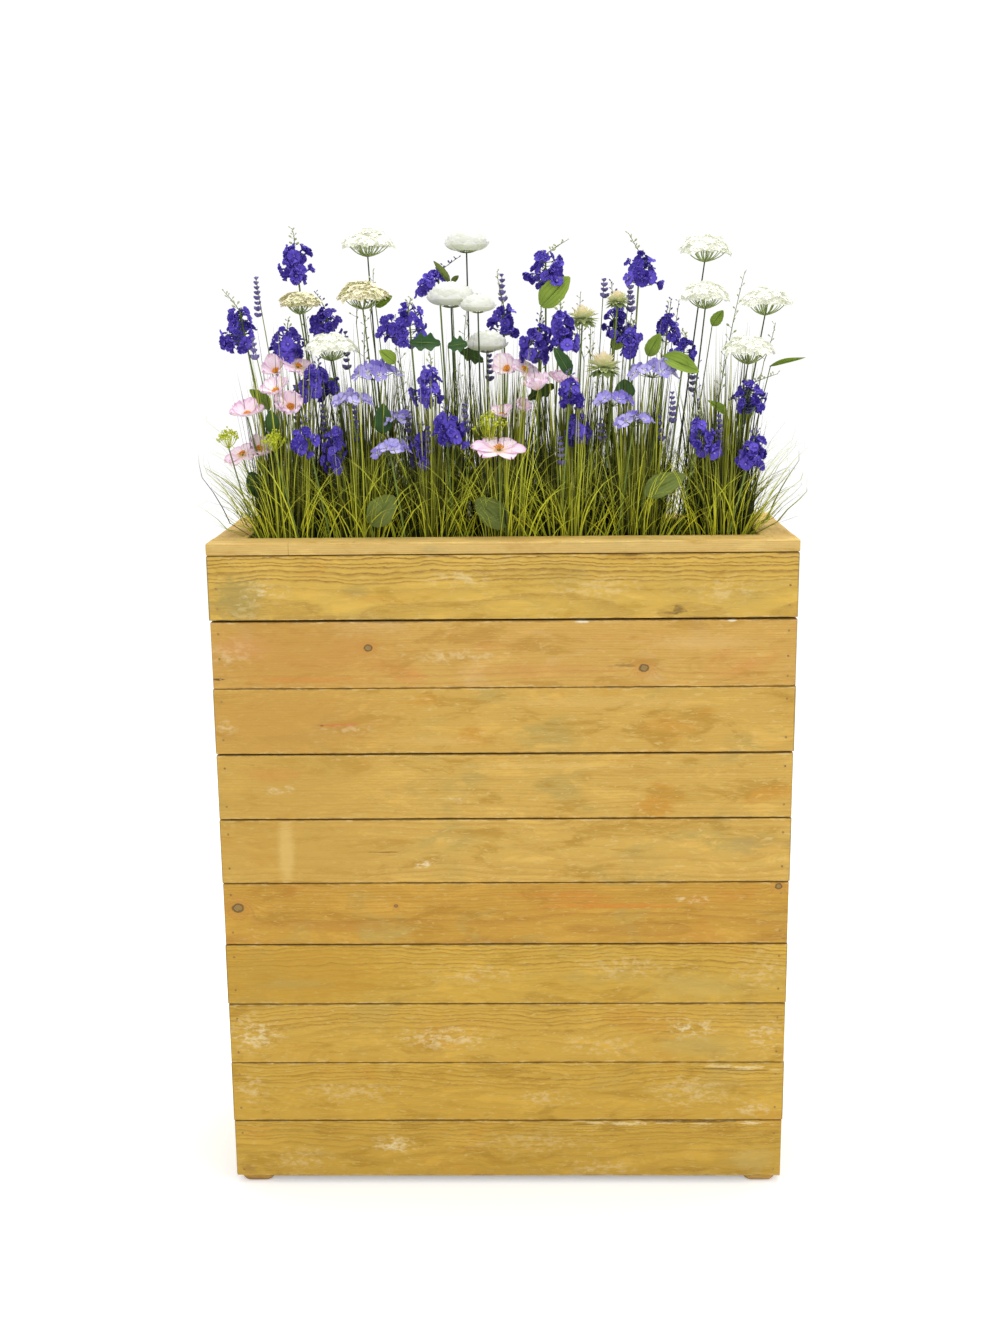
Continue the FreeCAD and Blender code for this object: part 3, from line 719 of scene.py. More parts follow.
for number, course in courses.items():
    low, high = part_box(f"front_board_{number:02}")
    middle, half = (low[2] + high[2]) / 2, (high[2] - low[2]) / 2
    long_wall = dict(middle=middle, half=half, long_half=0.44)
    short_wall = dict(middle=middle, half=half, long_half=0.1405)
    front = wood_finish(f"front_wood_{number:02}", "XZY", spots=front_spots[number],
                        knots=front_knots.get(number, ()), **long_wall, **course)
    knots = stray_knots((0, 1, 1, 2, 3), 410, middle * 1000)
    other_cut = {**course, "pith": (course["pith"][0] + 0.012, course["pith"][1] - 0.25)}
    back = wood_finish(f"back_wood_{number:02}", "XZY", knots=knots, **long_wall, **other_cut)
    knots = stray_knots((0, 0, 1, 1, 2), 120, middle * 1000)
    side = wood_finish(f"side_wood_{number:02}", "YZX", knots=knots, **short_wall, **course)
    sawn_board(f"front_plank_{number:02}", f"front_board_{number:02}", (0, 2, 1), front,
               chips=front_chips[number], seed=number)
    chips = [(stray.uniform(-420, 420), corner, stray.uniform(*sizes), reach)
             for corner, sizes, reach in ((1, (0.8, 2.0), 16), (2, (0.6, 1.6), 20))]
    sawn_board(f"back_plank_{number:02}", f"back_board_{number:02}", (0, 2, 1), back,
               chips=chips, seed=number + 20, step=4)
    for own_seed, corner, name in ((40, 0, "left"), (60, 1, "right")):
        chips = [(stray.uniform(-130, 130), corner, stray.uniform(0.7, 1.9), 12)]
        sawn_board(f"{name}_plank_{number:02}", f"{name}_board_{number:02}", (1, 2, 0), side,
                   chips=chips, seed=number + own_seed, step=4)
print("made", 4 * len(courses), "planks")

# %% [markdown]
# The rim
#
# Four planed boards lie flat on the walls: two long ones at the front and back, and two short ones
# butted between them. The same maker and recipe serve, with rounder edges and paler, milder values.
# The front one has a thin crack near the left end and two dark spots at the right corner.

# %% Rim
rim_values = dict(early=(237, 200, 118), late=(196, 152, 76), ring=0.0034, wave=0.005, lines=0.44,
                  fibre=0.42, blotch=0.8, mottled=0.75, scuff=0.1, edge_darkening=0.2, wear_and_highlight=0.12,
                  pale=(240, 218, 150), warm=(214, 170, 92), cool=(212, 188, 122))
front_rim = dict(
    chips=[(-320, 0, 0.6, 5), (250, 3, 0.7, 18)],
    spots=[(-317, -160, 0.8, 12, BROWN, 0.5, 0.8), (396, -128, 5, 3, BROWN, 0.7, 1.2),
           (404, -152, 4, 3, (120, 92, 50), 0.6, 1.2), (-150, -120, 90, 14, (206, 190, 122), 0.4, 1.8),
           (200, -140, 120, 12, (210, 190, 122), 0.4, 1.8), (60, -158, 60, 6, (206, 158, 80), 0.3, 1.8)])
for side_name, grain, axes, middle, half, pith in (
        ("front", "XYZ", (0, 1, 2), -0.1315, 0.031, (-0.15, -1.0)),
        ("back", "XYZ", (0, 1, 2), 0.1315, 0.031, (0.11, -0.98)),
        ("left", "YXZ", (1, 0, 2), -0.414, 0.026, (-0.4, -0.99)),
        ("right", "YXZ", (1, 0, 2), 0.414, 0.026, (0.43, -0.99))):
    low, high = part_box(f"cap_{side_name}")
    one_spot = [(0, (low[1] + high[1]) * 500, 60, 12, (206, 190, 122), 0.3, 1.8)]
    marks = front_rim if side_name == "front" else dict(chips=[], spots=one_spot)
    finish = wood_finish(f"rim_wood_{side_name}", grain, pith=pith, middle=middle, half=half,
                         spots=marks["spots"], **rim_values)
    sawn_board(f"rim_{side_name}", f"cap_{side_name}", axes, finish, round_mm=2.5, step=3.5,
               rub=0.3, seed=80 + axes[0] + len(side_name), chips=marks["chips"])

# %% [markdown]
# The frame inside, the feet and the nails
#
# These CAD shapes are right as they are, so they stay and get better finishes. Posts, bearers and
# slats are unplaned battens, each with rings that run its own way. The feet are the same wood,
# rubbed, with painted shade low down near the floor at both ends. The nail heads are small and dull,
# stained like the wood and a little rusty, and hardly show.

# %% Frame and feet
def refinish(finish, *nodes):
    """Gives CAD nodes another finish; their shape stays."""
    for node in nodes:
        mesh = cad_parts[node].data
        for number in range(len(mesh.materials)):
            mesh.materials[number] = finish


batten = dict(early=(206, 170, 104), late=(168, 124, 62), ring=0.0028, wave=0.01, lines=0.7, fibre=0.45,
              blotch=0.4, scuff=0.4, edge_darkening=0.0)
refinish(wood_finish("post_wood", "ZXY", pith=(0.404, 0.09), **batten), "corner_post_front_left",
         "corner_post_front_right", "corner_post_back_left", "corner_post_back_right")
refinish(wood_finish("bearer_wood", "YZX", pith=(0.05, 0.35), **batten), "slat_bearers")
refinish(wood_finish("slat_wood", "XYZ", pith=(0.02, 0.06), **batten), "floor_slats", "shelf_slats")
# Painted shade: each foot darker low down, near the floor.
painted_foot_shade = [(-410, 4, 40, 6, (120, 92, 52), 0.6, 1.4), (405, 2, 40, 4, (140, 104, 56), 0.5, 1.4)]
foot_wood = wood_finish(
    "foot_wood", "XZY", early=(204, 160, 84), late=(160, 114, 50), pith=(-0.03, 0.0), ring=0.0024,
    lines=0.6, fibre=0.4, blotch=0.5, scuff=0.4, edge_darkening=0.0, spots=painted_foot_shade)
refinish(foot_wood, "foot_pads")
print("frame and feet finished")

# %% Nails
nail_steel, shader, spot = new_finish("nail_steel")
rust = fade(mottle(spot, 420.0, 4.0, 0.65), 0.42, 0.62)
dress(shader, mix(rust, paint(176, 142, 78), paint(140, 100, 48)), fade(rust, 0.0, 1.0, 0.38, 0.8),
      mottle(spot, 900.0), 0.4, 0.0002)
wire(fade(rust, 0.0, 1.0, 0.3, 0.05), shader.inputs["Metallic"])
refinish(nail_steel, "nails")
print("nails finished")

# %% [markdown]
# Trough and foam
#
# The trough is cheap moulded plastic, nearly black, with faint upright flow marks and dust; the
# near-black also stands in for the shade deep inside the box. Its CAD shape stays. Dry foam is a
# soft green-grey brick that crumbles, and a plain box would look like plastic. Each block is a box
# of small squares with rounded edges, pressed in by small waves. The finish adds its many pits.

# %% Finishes of the trough and the foam
# Partly painted shade: the trough's near-black colour stands in for the shade inside the box.
trough_plastic, shader, spot = new_finish("trough_plastic")
dust = fade(mottle(spot, 9.0, 6.0, 0.7), 0.45, 0.75)
dress(shader, mix(dust, paint(30, 31, 30), paint(68, 66, 58)), fade(dust, 0.0, 1.0, 0.42, 0.75),
      mottle(spot, (700, 700, 250), 2.0), 0.3, 0.0003)
refinish(trough_plastic, "trough")

dry_foam, shader, spot = new_finish("dry_foam")
pits = put(dry_foam.node_tree, "TexVoronoi", {"Vector": spot, "Scale": 420.0}).outputs["Distance"]
dress(shader, mix(mottle(spot, 60.0, 4.0), paint(56, 70, 46), paint(92, 104, 72)),
      fade(pits, 0.1, 0.6, 0.98, 0.85), pits, 0.8, 0.0012)
print("finishes:", trough_plastic.name, dry_foam.name)

# %% Separate solids
def cad_islands(node):
    """The separate solids in a CAD node's mesh, as (lowest corner, highest corner), in metres."""
    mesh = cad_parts[node].data
    spots = np.empty(len(mesh.vertices) * 3)
    mesh.vertices.foreach_get("co", spots)
    spots, same = np.unique(np.round(spots.reshape(-1, 3), 6), axis=0, return_inverse=True)
    edges = np.empty(len(mesh.edges) * 2, int)
    mesh.edges.foreach_get("vertices", edges)
    edges = same.ravel()[edges.reshape(-1, 2)]
    label = np.arange(len(spots))
    while True:
        lowest = np.minimum(label[edges[:, 0]], label[edges[:, 1]])
        new = label.copy()
        np.minimum.at(new, edges[:, 0], lowest)
        np.minimum.at(new, edges[:, 1], lowest)
        new = new[new]
        if (new == label).all():
            break
        label = new
    solids = [spots[label == one] for one in np.unique(label)]
    return sorted(((solid.min(0), solid.max(0)) for solid in solids), key=lambda box: tuple(box[0]))


print("foam blocks:", len(cad_islands("foam_blocks")), "tufts:", len(cad_islands("grass_tufts")))

# %% Foam bricks
SQUARE, CRUMBLE, DENT = 0.006, 0.0016, 0.0005
foam = Heap()
for low, high in cad_islands("foam_blocks"):
    size, middle = (high - low) / 2, (high + low) / 2
    for face_axis in range(3):
        for sign in (-1, 1):
            one, two = [axis for axis in range(3) if axis != face_axis]
            rows, cols = (int(size[axis] * 2 / SQUARE) + 2 for axis in (one, two))
            first, second = np.meshgrid(np.linspace(-1, 1, rows), np.linspace(-1, 1, cols), indexing="ij")
            block = np.zeros((rows, cols, 3))
            block[..., face_axis], block[..., one], block[..., two] = sign, first, second
            rounding = np.clip((np.abs(block) * size - (size - SQUARE)) / SQUARE, 0, 1) ** 2
            near = np.sort(rounding, -1)[..., -2]
            points = middle + block * (size - CRUMBLE * near[..., None])
            x, y, z = np.moveaxis(points, -1, 0)
            waves = np.sin(x * 310) * np.sin(y * 270) * np.sin(z * 330)
            inside = (np.abs(first) < 0.999) & (np.abs(second) < 0.999)
            points[..., face_axis] -= sign * inside * (DENT + DENT * waves)
            faces = sheet_faces(rows, cols)
            flip = (sign > 0) == (face_axis == 1)
            foam.add(points, faces[:, ::-1] if flip else faces)
foam.make("foam_bricks", [dry_foam], "planting", ["foam_blocks"])
print("foam bricks:", foam.count, "points")

# %% [markdown]
# Samples, tubes and scattering
#
# A flower head has hundreds of nearly equal parts. A particle system could scatter them, but then
# their places are hard to steer. So one sample petal or bead is made and copied with its own place,
# turn, size and tone. A petal is a small grid of points: its outline comes from a sine curve, and
# cupping, curling and ruffling bend it. Stems and rays are tubes along a path.

# %% Petal and bead samples
UP = np.array([0, 0, 1.0])
GOLDEN_TURN = 2.4
FOAM_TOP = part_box("foam_blocks")[1][2]


def petal_sample(length, width, rows=5, cols=4, widest=0.62, full=0.7, cup=0.0, curl=0.0,
                 ruffle=0.0, waves=2.0, notch=0.0, saw=0.0, teeth=9, lobes=0.0):
    """A petal or leaf along +X that faces +Z.

    length, width and ruffle are in metres; widest is where along its length it is widest; cup, curl
    and notch are shares of its size; saw and lobes cut into its edges.
    """
    along, across = np.meshgrid(np.linspace(0.02, 0.985, rows + 1), np.linspace(-1, 1, cols + 1),
                                indexing="ij")
    share = np.sin(math.pi * along ** (math.log(0.5) / math.log(widest))) ** full
    share = share * (1 - saw * ((along * teeth) % 1.0) * np.abs(across) ** 3)
    share = share * (1 - lobes * (0.5 - 0.5 * np.cos(along * 6 * math.pi)) * np.abs(across) ** 2)
    x = length * (along - notch * np.exp(-((across / 0.32) ** 2)) * along ** 6)
    y = across * width / 2 * share
    wave = np.sin(waves * math.pi * across + 2.0 * along)
    z = length * curl * along ** 2 + cup * width * (across * share) ** 2 + ruffle * wave * along ** 2
    grow = np.stack([along, across, np.full_like(along, 0.5)], -1)
    return np.stack([x, y, z], -1).reshape(-1, 3), sheet_faces(rows + 1, cols + 1), grow.reshape(-1, 3)


def bead_sample(rings=5, sides=6):
    """A small round bud of radius 1."""
    rise, turn = np.meshgrid(np.linspace(-1.54, 1.54, rings),
                             np.linspace(0, 2 * math.pi, sides, endpoint=False), indexing="ij")
    points = np.stack([np.cos(rise) * np.cos(turn), np.cos(rise) * np.sin(turn), np.sin(rise)], -1)
    grow = np.stack([rise / 3.08 + 0.5, np.cos(turn), np.full_like(rise, 0.5)], -1)
    return points.reshape(-1, 3), sheet_faces(rings, sides, closed=True), grow.reshape(-1, 3)


print("a petal has", len(petal_sample(0.01, 0.01)[0]), "points and a bead", len(bead_sample()[0]))

# %% Directions and turns
def unit(vectors):
    """Vectors made one long."""
    vectors = np.asarray(vectors, float)
    return vectors / (np.linalg.norm(vectors, axis=-1, keepdims=True) + 1e-12)


def compass(turn, up=0.0):
    """Directions round the upright axis, with their third part given."""
    return np.stack([np.cos(turn), np.sin(turn), np.broadcast_to(up, np.shape(turn))], -1)


def spiral(count):
    """Turns that set parts round a stem as a real plant does."""
    return np.arange(count) * GOLDEN_TURN


def fill_disc(count, first=0.5):
    """Distances from 0 to 1 that fill a round head evenly."""
    return np.sqrt((np.arange(count) + first) / count)


def aim(directions, roll=None):
    """Turns that point a sample's +Z along each direction, spun by roll."""
    z = unit(np.atleast_2d(directions))
    helper = np.where(np.abs(z[:, 2:]) < 0.95, np.array([[0.0, 0, 1]]), np.array([[1.0, 0, 0]]))
    x = unit(np.cross(helper, z))
    y = np.cross(z, x)
    roll = dice.uniform(0, 2 * math.pi, len(z)) if roll is None else np.broadcast_to(roll, len(z))
    cosine, sine = np.cos(roll)[:, None], np.sin(roll)[:, None]
    return np.stack([x * cosine + y * sine, y * cosine - x * sine, z], -1)


def lay(directions, facing=UP):
    """Turns that point a sample's +X along each direction, with +Z as near to facing as it can be."""
    x = unit(np.atleast_2d(directions))
    z = unit(facing - np.sum(facing * x, -1, keepdims=True) * x)
    return np.stack([x, np.cross(z, x), z], -1)


print("five turns of the spiral:", spiral(5).round(1).tolist())

# %% Copies and tubes
def repeated(faces, count, points_each):
    """The faces of many equal pieces, one after another."""
    return (faces[None] + (np.arange(count) * points_each)[:, None, None]).reshape(-1, faces.shape[1])


def scatter(heap, sample, places, turns, sizes=1.0, tones=0.5, finish=0):
    """Copies a sample to many places, each with its own turn, size and tone."""
    points, faces, grow = sample
    count = len(turns)
    sizes = np.asarray(sizes, float)
    sizes = np.broadcast_to(sizes.reshape(-1, 1) if sizes.ndim == 1 else sizes, (count, 3))
    moved = np.einsum("kij,knj->kni", turns, points[None] * sizes[:, None])
    moved = moved + np.broadcast_to(places, (count, 3))[:, None]
    grown = np.repeat(grow[None], count, 0)
    grown[..., 2] = grown[..., 2] * 0.4 + np.broadcast_to(tones, count)[:, None] * 0.6
    heap.add(moved, repeated(faces, count, len(points)), grown, finish)


def tubes(heap, paths, radii, sides=5, tones=0.5, finish=0):
    """Tubes along paths (count, steps, 3); they close at both ends."""
    paths = np.asarray(paths, float)
    paths = paths[None] if paths.ndim == 2 else paths
    count, steps = paths.shape[:2]
    radii = np.broadcast_to(radii, (count, steps)).copy()
    run = unit(np.gradient(paths, axis=1))
    first, last = paths[:, :1] - run[:, :1] * 1e-5, paths[:, -1:] + run[:, -1:] * 1e-5
    paths = np.concatenate([first, paths, last], 1)
    run = np.concatenate([run[:, :1], run, run[:, -1:]], 1)
    radii = np.concatenate([radii[:, :1] * 0.05, radii, radii[:, -1:] * 0.05], 1)
    helper = np.where(np.abs(run[:, :1, 2:]) > 0.75, np.array([1.0, 0.13, 0]), np.array([0, 0.13, 1.0]))
    side = unit(np.cross(run, helper))
    other = np.cross(run, side)
    turn = np.linspace(0, 2 * math.pi, sides, endpoint=False)
    ring = np.cos(turn)[:, None] * side[:, :, None] + np.sin(turn)[:, None] * other[:, :, None]
    points = paths[:, :, None] + radii[:, :, None, None] * ring
    along = np.linspace(0, 1, steps + 2)[None, :, None]
    tones = np.broadcast_to(tones, count)[:, None, None]
    grow = np.stack(np.broadcast_arrays(along, np.cos(turn), tones), -1)
    faces = sheet_faces(steps + 2, sides, closed=True)
    heap.add(points, repeated(faces, count, (steps + 2) * sides), grow, finish)


print("copies and tubes are ready")

# %% Paths
def bow(start, end, sag, steps=8):
    """Points from start to end that bulge by sag, a vector."""
    share = np.linspace(0, 1, steps)[:, None]
    straight = np.asarray(start) * (1 - share) + np.asarray(end) * share
    return straight + np.asarray(sag) * (4 * share * (1 - share))


def through(*points):
    """Paths through the given points; a point that is given once is shared by all of them."""
    return np.stack(np.broadcast_arrays(*points), 1)


def arched(hub, knees, ends, steps):
    """Rays from one hub that bend past their knees to their ends."""
    share = np.linspace(0, 1, steps)[None, :, None]
    return hub * (1 - share) ** 2 + knees[:, None] * 2 * share * (1 - share) + ends[:, None] * share ** 2


def stem_foot(top):
    """Where a plant's stem enters the foam: the planting fans out from a narrower bed."""
    return np.array([top[0] * 0.8, top[1] * 0.6, FOAM_TOP - 0.004])


print("a stem under the middle starts at", stem_foot((0, 0)).round(4).tolist())

# %% [markdown]
# Petal, leaf and blade finishes
#
# Cloth petals are brighter at the rim, darker or greener at the heart, with faint veins pressed in.
# An image would have to be laid on each petal. These finishes read the "grow" numbers of each
# point, so that one recipe suits a petal of any size: along gives the heart, along and across give
# the rim, across gives the veins, and tone makes neighbours differ. Pale petals also shine faintly
# with their own colour: painted light that lifts the shade between them.

# %% Petal skin effect
skin_effect, takes, gives = new_effect(
    "petal_skin", ["Grow", "Place"], {"Veins": 6}, ["Heart", "Rim", "Vein", "Cloth", "Tone"])
along, across, tone = split(takes["Grow"])
wire(fade(along, 0.42, 0.05), gives["Heart"])
edge = reckon("MAXIMUM", reckon("POWER", reckon("ABSOLUTE", across), 3.0), reckon("POWER", along, 5.0))
wire(fade(edge, 0.35, 0.95), gives["Rim"])
wire(fade(reckon("SINE", times(across, takes["Veins"], 3.1416)), 0.55, 1.0), gives["Vein"])
wire(mottle(takes["Place"], 700.0, 2.0), gives["Cloth"])
wire(plus(tone, times(minus(mottle(takes["Place"], 55.0), 0.5), 0.5)), gives["Tone"])
print("built", skin_effect.name)

# %% Petal finishes
def petal_finish(name, heart, dark, light, rim, veins=3.0, vein_mark=0.2, rim_mark=0.5, heart_mark=0.7,
                 rough=0.62, painted_glow=0.0):
    """heart, dark, light and rim are tones; dark and light are those of the darkest and palest petals.

    painted_glow is painted light: the petal shines faintly with its own colour, which lifts the shade between
    petals.
    """
    finish, shader, place = new_finish(name)
    grown = put(finish.node_tree, "Attribute", attribute_name="grow").outputs["Vector"]
    skin = use_effect(skin_effect, Grow=grown, Place=place, Veins=veins)
    colour = mix(fade(skin["Tone"], 0.1, 0.9), paint(*dark), paint(*light))
    vein = [part * 0.72 for part in dark]
    for mask, strength, tone in (
            ("Vein", vein_mark, vein), ("Rim", rim_mark, rim), ("Heart", heart_mark, heart)):
        colour = tint(colour, times(skin[mask], strength), tone)
    roughness = fade(skin["Cloth"], 0.2, 0.8, rough - 0.1, rough + 0.15)
    dress(shader, colour, roughness, plus(skin["Cloth"], times(skin["Vein"], -0.8)), 0.35, 0.0004)
    shader.inputs["Specular IOR Level"].default_value = 0.25
    # Painted light: the petal's colour also shines as emission, lifting the shade between petals.
    if painted_glow:
        wire(colour, shader.inputs["Emission Color"])
        shader.inputs["Emission Strength"].default_value = painted_glow
    return finish


# Per finish: its heart, dark, light and rim tones, then the other values of petal_finish in their order.
petal_rows = [
    ("blue_petals", (42, 28, 118), (54, 36, 148), (116, 96, 224), (136, 118, 238), 2.0, 0.3, 0.35),
    ("blue_heart", (120, 110, 200), (90, 76, 190), (190, 180, 232), (210, 205, 240), 2.0, 0.2),
    ("lavender_buds", (96, 100, 84), (82, 74, 132), (132, 122, 178), (142, 134, 188), 2.0, 0.2),
    ("white_petals", (214, 222, 174), (231, 234, 214), (249, 249, 242), (251, 251, 246), 3.0, 0.05, 0.4,
     0.3, 0.62, 0.14),
    # The pompoms' heart tone is painted shade, laid where petals overlap and under the ball.
    ("pompom_petals", (196, 206, 164), (230, 232, 218), (245, 246, 238), (250, 250, 245), 1.0, 0.04, 0.4,
     0.6, 0.7, 0.04),
    ("button_petals", (206, 214, 130), (248, 226, 206), (206, 218, 156), (246, 232, 206), 2.0, 0.1, 0.4,
     0.5, 0.62, 0.12),
    ("button_collar", (112, 132, 62), (132, 152, 82), (176, 190, 128), (190, 200, 146), 3.0, 0.2, 0.4, 0.4),
    ("cream_petals", (190, 204, 120), (226, 226, 178), (246, 240, 212), (250, 240, 220), 3.0, 0.1, 0.5, 0.6,
     0.62, 0.06),
    ("pink_petals", (252, 220, 150), (242, 214, 230), (253, 244, 246), (216, 152, 206), 4.0, 0.14, 0.56,
     0.55, 0.62, 0.08),
    ("lilac_petals", (240, 238, 252), (134, 120, 208), (204, 196, 246), (176, 164, 236), 1.0, 0.12, 0.4,
     0.6),
    ("stamen_orange", (220, 170, 40), (226, 130, 30), (244, 176, 60), (250, 190, 80), 1.0, 0.1),
    ("dill_yellow", (150, 170, 20), (178, 192, 30), (214, 220, 60), (222, 226, 80), 1.0, 0.1),
    ("bud_green", (120, 140, 70), (158, 170, 110), (206, 208, 160), (196, 170, 180), 1.0, 0.1),
    ("stem_green", (80, 92, 34), (92, 112, 44), (134, 154, 70), (120, 140, 60), 2.0, 0.3, 0.1, 0.5, 0.55),
    ("stem_dark", (40, 52, 32), (38, 54, 34), (66, 84, 50), (60, 80, 46), 2.0, 0.3, 0.1, 0.5, 0.5),
    ("leaf_lime", (96, 124, 40), (106, 136, 38), (152, 176, 66), (132, 160, 54), 6.0, 0.3, 0.25, 0.4, 0.5),
    ("leaf_dark", (34, 66, 30), (38, 74, 34), (78, 112, 56), (64, 100, 48), 6.0, 0.35, 0.2, 0.4, 0.5),
    ("leaf_olive", (70, 84, 34), (84, 98, 38), (124, 138, 64), (104, 120, 52), 6.0, 0.3, 0.25, 0.4, 0.55)]
cloth_finishes = {name: petal_finish(name, *look) for name, *look in petal_rows}


def cloth(*names):
    """The finishes with these names, in this order."""
    return [cloth_finishes[name] for name in names]


print(len(cloth_finishes), "finishes for petals, leaves and stems")

# %% [markdown]
# Where the flowers stand
#
# The CAD model holds every head as one plain solid on its own stem. Their boxes give each flower's
# middle and size, so that no place is written down twice. Height against width tells the kinds
# apart: lace heads, pompoms and small buttons among the white ones, and dill sprays among the low
# ones. Phlox and anemones have the same shape there, so their place along the box tells them apart.

# %% Flower places
def heads(node):
    """The middle and half size of each head in a node, in metres, from left to right."""
    return [((low + high) / 2, (high - low) / 2) for low, high in cad_islands(node)]


def steepness(head):
    """A head's height against its width."""
    return head[1][2] / head[1][0]


def is_phlox(head):
    """The clusters stand left of the middle and to the right of it."""
    return -0.24 < head[0][0] < -0.15 or head[0][0] > 0.1


larkspurs, whites, lows = heads("spire_heads"), heads("white_heads"), heads("low_heads")
buttons = [head for head in whites if steepness(head) > 0.6]
laces = [head for head in whites if 0.375 < steepness(head) < 0.6]
pompoms = [head for head in whites if steepness(head) <= 0.375]
dills = [head for head in lows if steepness(head) > 0.7]
phloxes = [head for head in lows if steepness(head) <= 0.7 and is_phlox(head)]
anemones = [head for head in lows if steepness(head) <= 0.7 and not is_phlox(head)]
kinds = larkspurs, laces, pompoms, buttons, dills, phloxes, anemones
print("larkspurs, laces, pompoms, buttons, dills, phloxes and anemones:", [len(kind) for kind in kinds])

# %% Stems
stems = Heap()


def flower_stem(top, radius=0.0021, dark=False, sway=0.004):
    """A stem from the foam to top, bowed sideways by up to sway."""
    sag = np.append(dice.uniform(-sway, sway, 2), 0)
    taper = radius * (1.05 - 0.35 * np.linspace(0, 1, 10))
    tubes(stems, bow(stem_foot(top), top, sag, 10), taper, 7, dice.uniform(0.2, 0.9), int(dark))


print("stems start in the foam, at", round(FOAM_TOP, 4), "m")

# %% [markdown]
# Larkspurs
#
# Each spike is a loose mass of ruffled five-petal flowers on short stalks round one stem, wide and
# open below, smaller above, and it ends in a thin sprig of green buds. Flat cards would do from far
# away, but the rims of the petals show, so five kinds of flower are modelled and scattered. The
# flowers follow a spiral with some disorder, face outwards and a little up, and have a spur behind
# and a pale heart.

# %% Ruffled flowers
def flower_of(petals, petal, tilt, gap=0.0, wobble=0.12):
    """One flower that faces +Z: copies of a petal round the middle, each raised by tilt."""
    one = Heap()
    angles = np.arange(petals) * 2 * math.pi / petals + dice.uniform(-wobble, wobble, petals)
    rise = math.radians(tilt) + dice.uniform(-wobble, wobble, petals)
    out = compass(angles)
    way = out * np.cos(rise)[:, None] + UP * np.sin(rise)[:, None]
    face = UP - out * np.sin(rise)[:, None]
    scatter(one, petal, out * gap, lay(way, face), dice.uniform(0.86, 1.1, petals),
            dice.uniform(0, 1, petals))
    return np.concatenate(one.points), np.concatenate(one.faces), np.concatenate(one.grow)


ruffled = []
for kind in range(5):
    petal = petal_sample(0.0128, 0.0142, 6, 6, 0.66, 0.5, cup=0.1 + 0.05 * kind, curl=0.05 * (kind - 2),
                         ruffle=0.0016 + 0.0005 * kind, waves=1.6 + 0.5 * kind, notch=0.1)
    ruffled.append(flower_of(5, petal, tilt=4 + 11 * kind, gap=0.0006, wobble=0.28))
pale_heart = flower_of(4, petal_sample(0.0042, 0.0036, 3, 2, 0.6, 0.6, cup=0.1), tilt=55)
print(len(ruffled), "ruffled flowers of", len(ruffled[0][0]), "points")

# %% Sprigs of buds
bud = bead_sample()
sprigs = Heap()


def bud_sprig(foot, tip, buds, size, stalk, finish):
    """A thin stalk with small buds on side stalks, getting smaller to the tip."""
    line = bow(foot, tip, np.append(dice.uniform(-0.002, 0.002, 2), 0), 7)
    tubes(sprigs, line, np.linspace(0.0007, 0.0004, 7), 4, 0.5, 1)
    share = (np.arange(buds) + 0.6) / buds
    joint = foot + (tip - foot) * share[:, None]
    turn = spiral(buds) + dice.uniform(0, 6)
    out = unit(compass(turn, dice.uniform(0.5, 1.3, buds)))
    ends = joint + out * (stalk * (1.15 - 0.6 * share) * dice.uniform(0.7, 1.3, buds))[:, None]
    tubes(sprigs, through(joint, (joint + ends) / 2 + [0, 0, -0.0004], ends), 0.00035, 3, 0.5, 1)
    sizes = size * (1.1 - 0.5 * share)[:, None] * np.array([[0.75, 0.75, 1.25]])
    sizes = sizes * dice.uniform(0.8, 1.2, (buds, 1))
    scatter(sprigs, bud, ends, aim(out), sizes, dice.uniform(0, 1, buds), finish)


print("a bud has", len(bud[0]), "points")

# %% Larkspur spikes
blues = Heap()
# Where the sprig on top ends, as (x, z) in mm, for the spikes where the photograph shows it.
sprig_tips = {0: (-421, 1410), 2: (-323, 1505), 5: (-289, 1409), 10: (-66, 1460), 12: (-7, 1438),
              14: (101, 1482), 18: (169, 1422), 20: (195, 1492), 24: (413, 1282)}
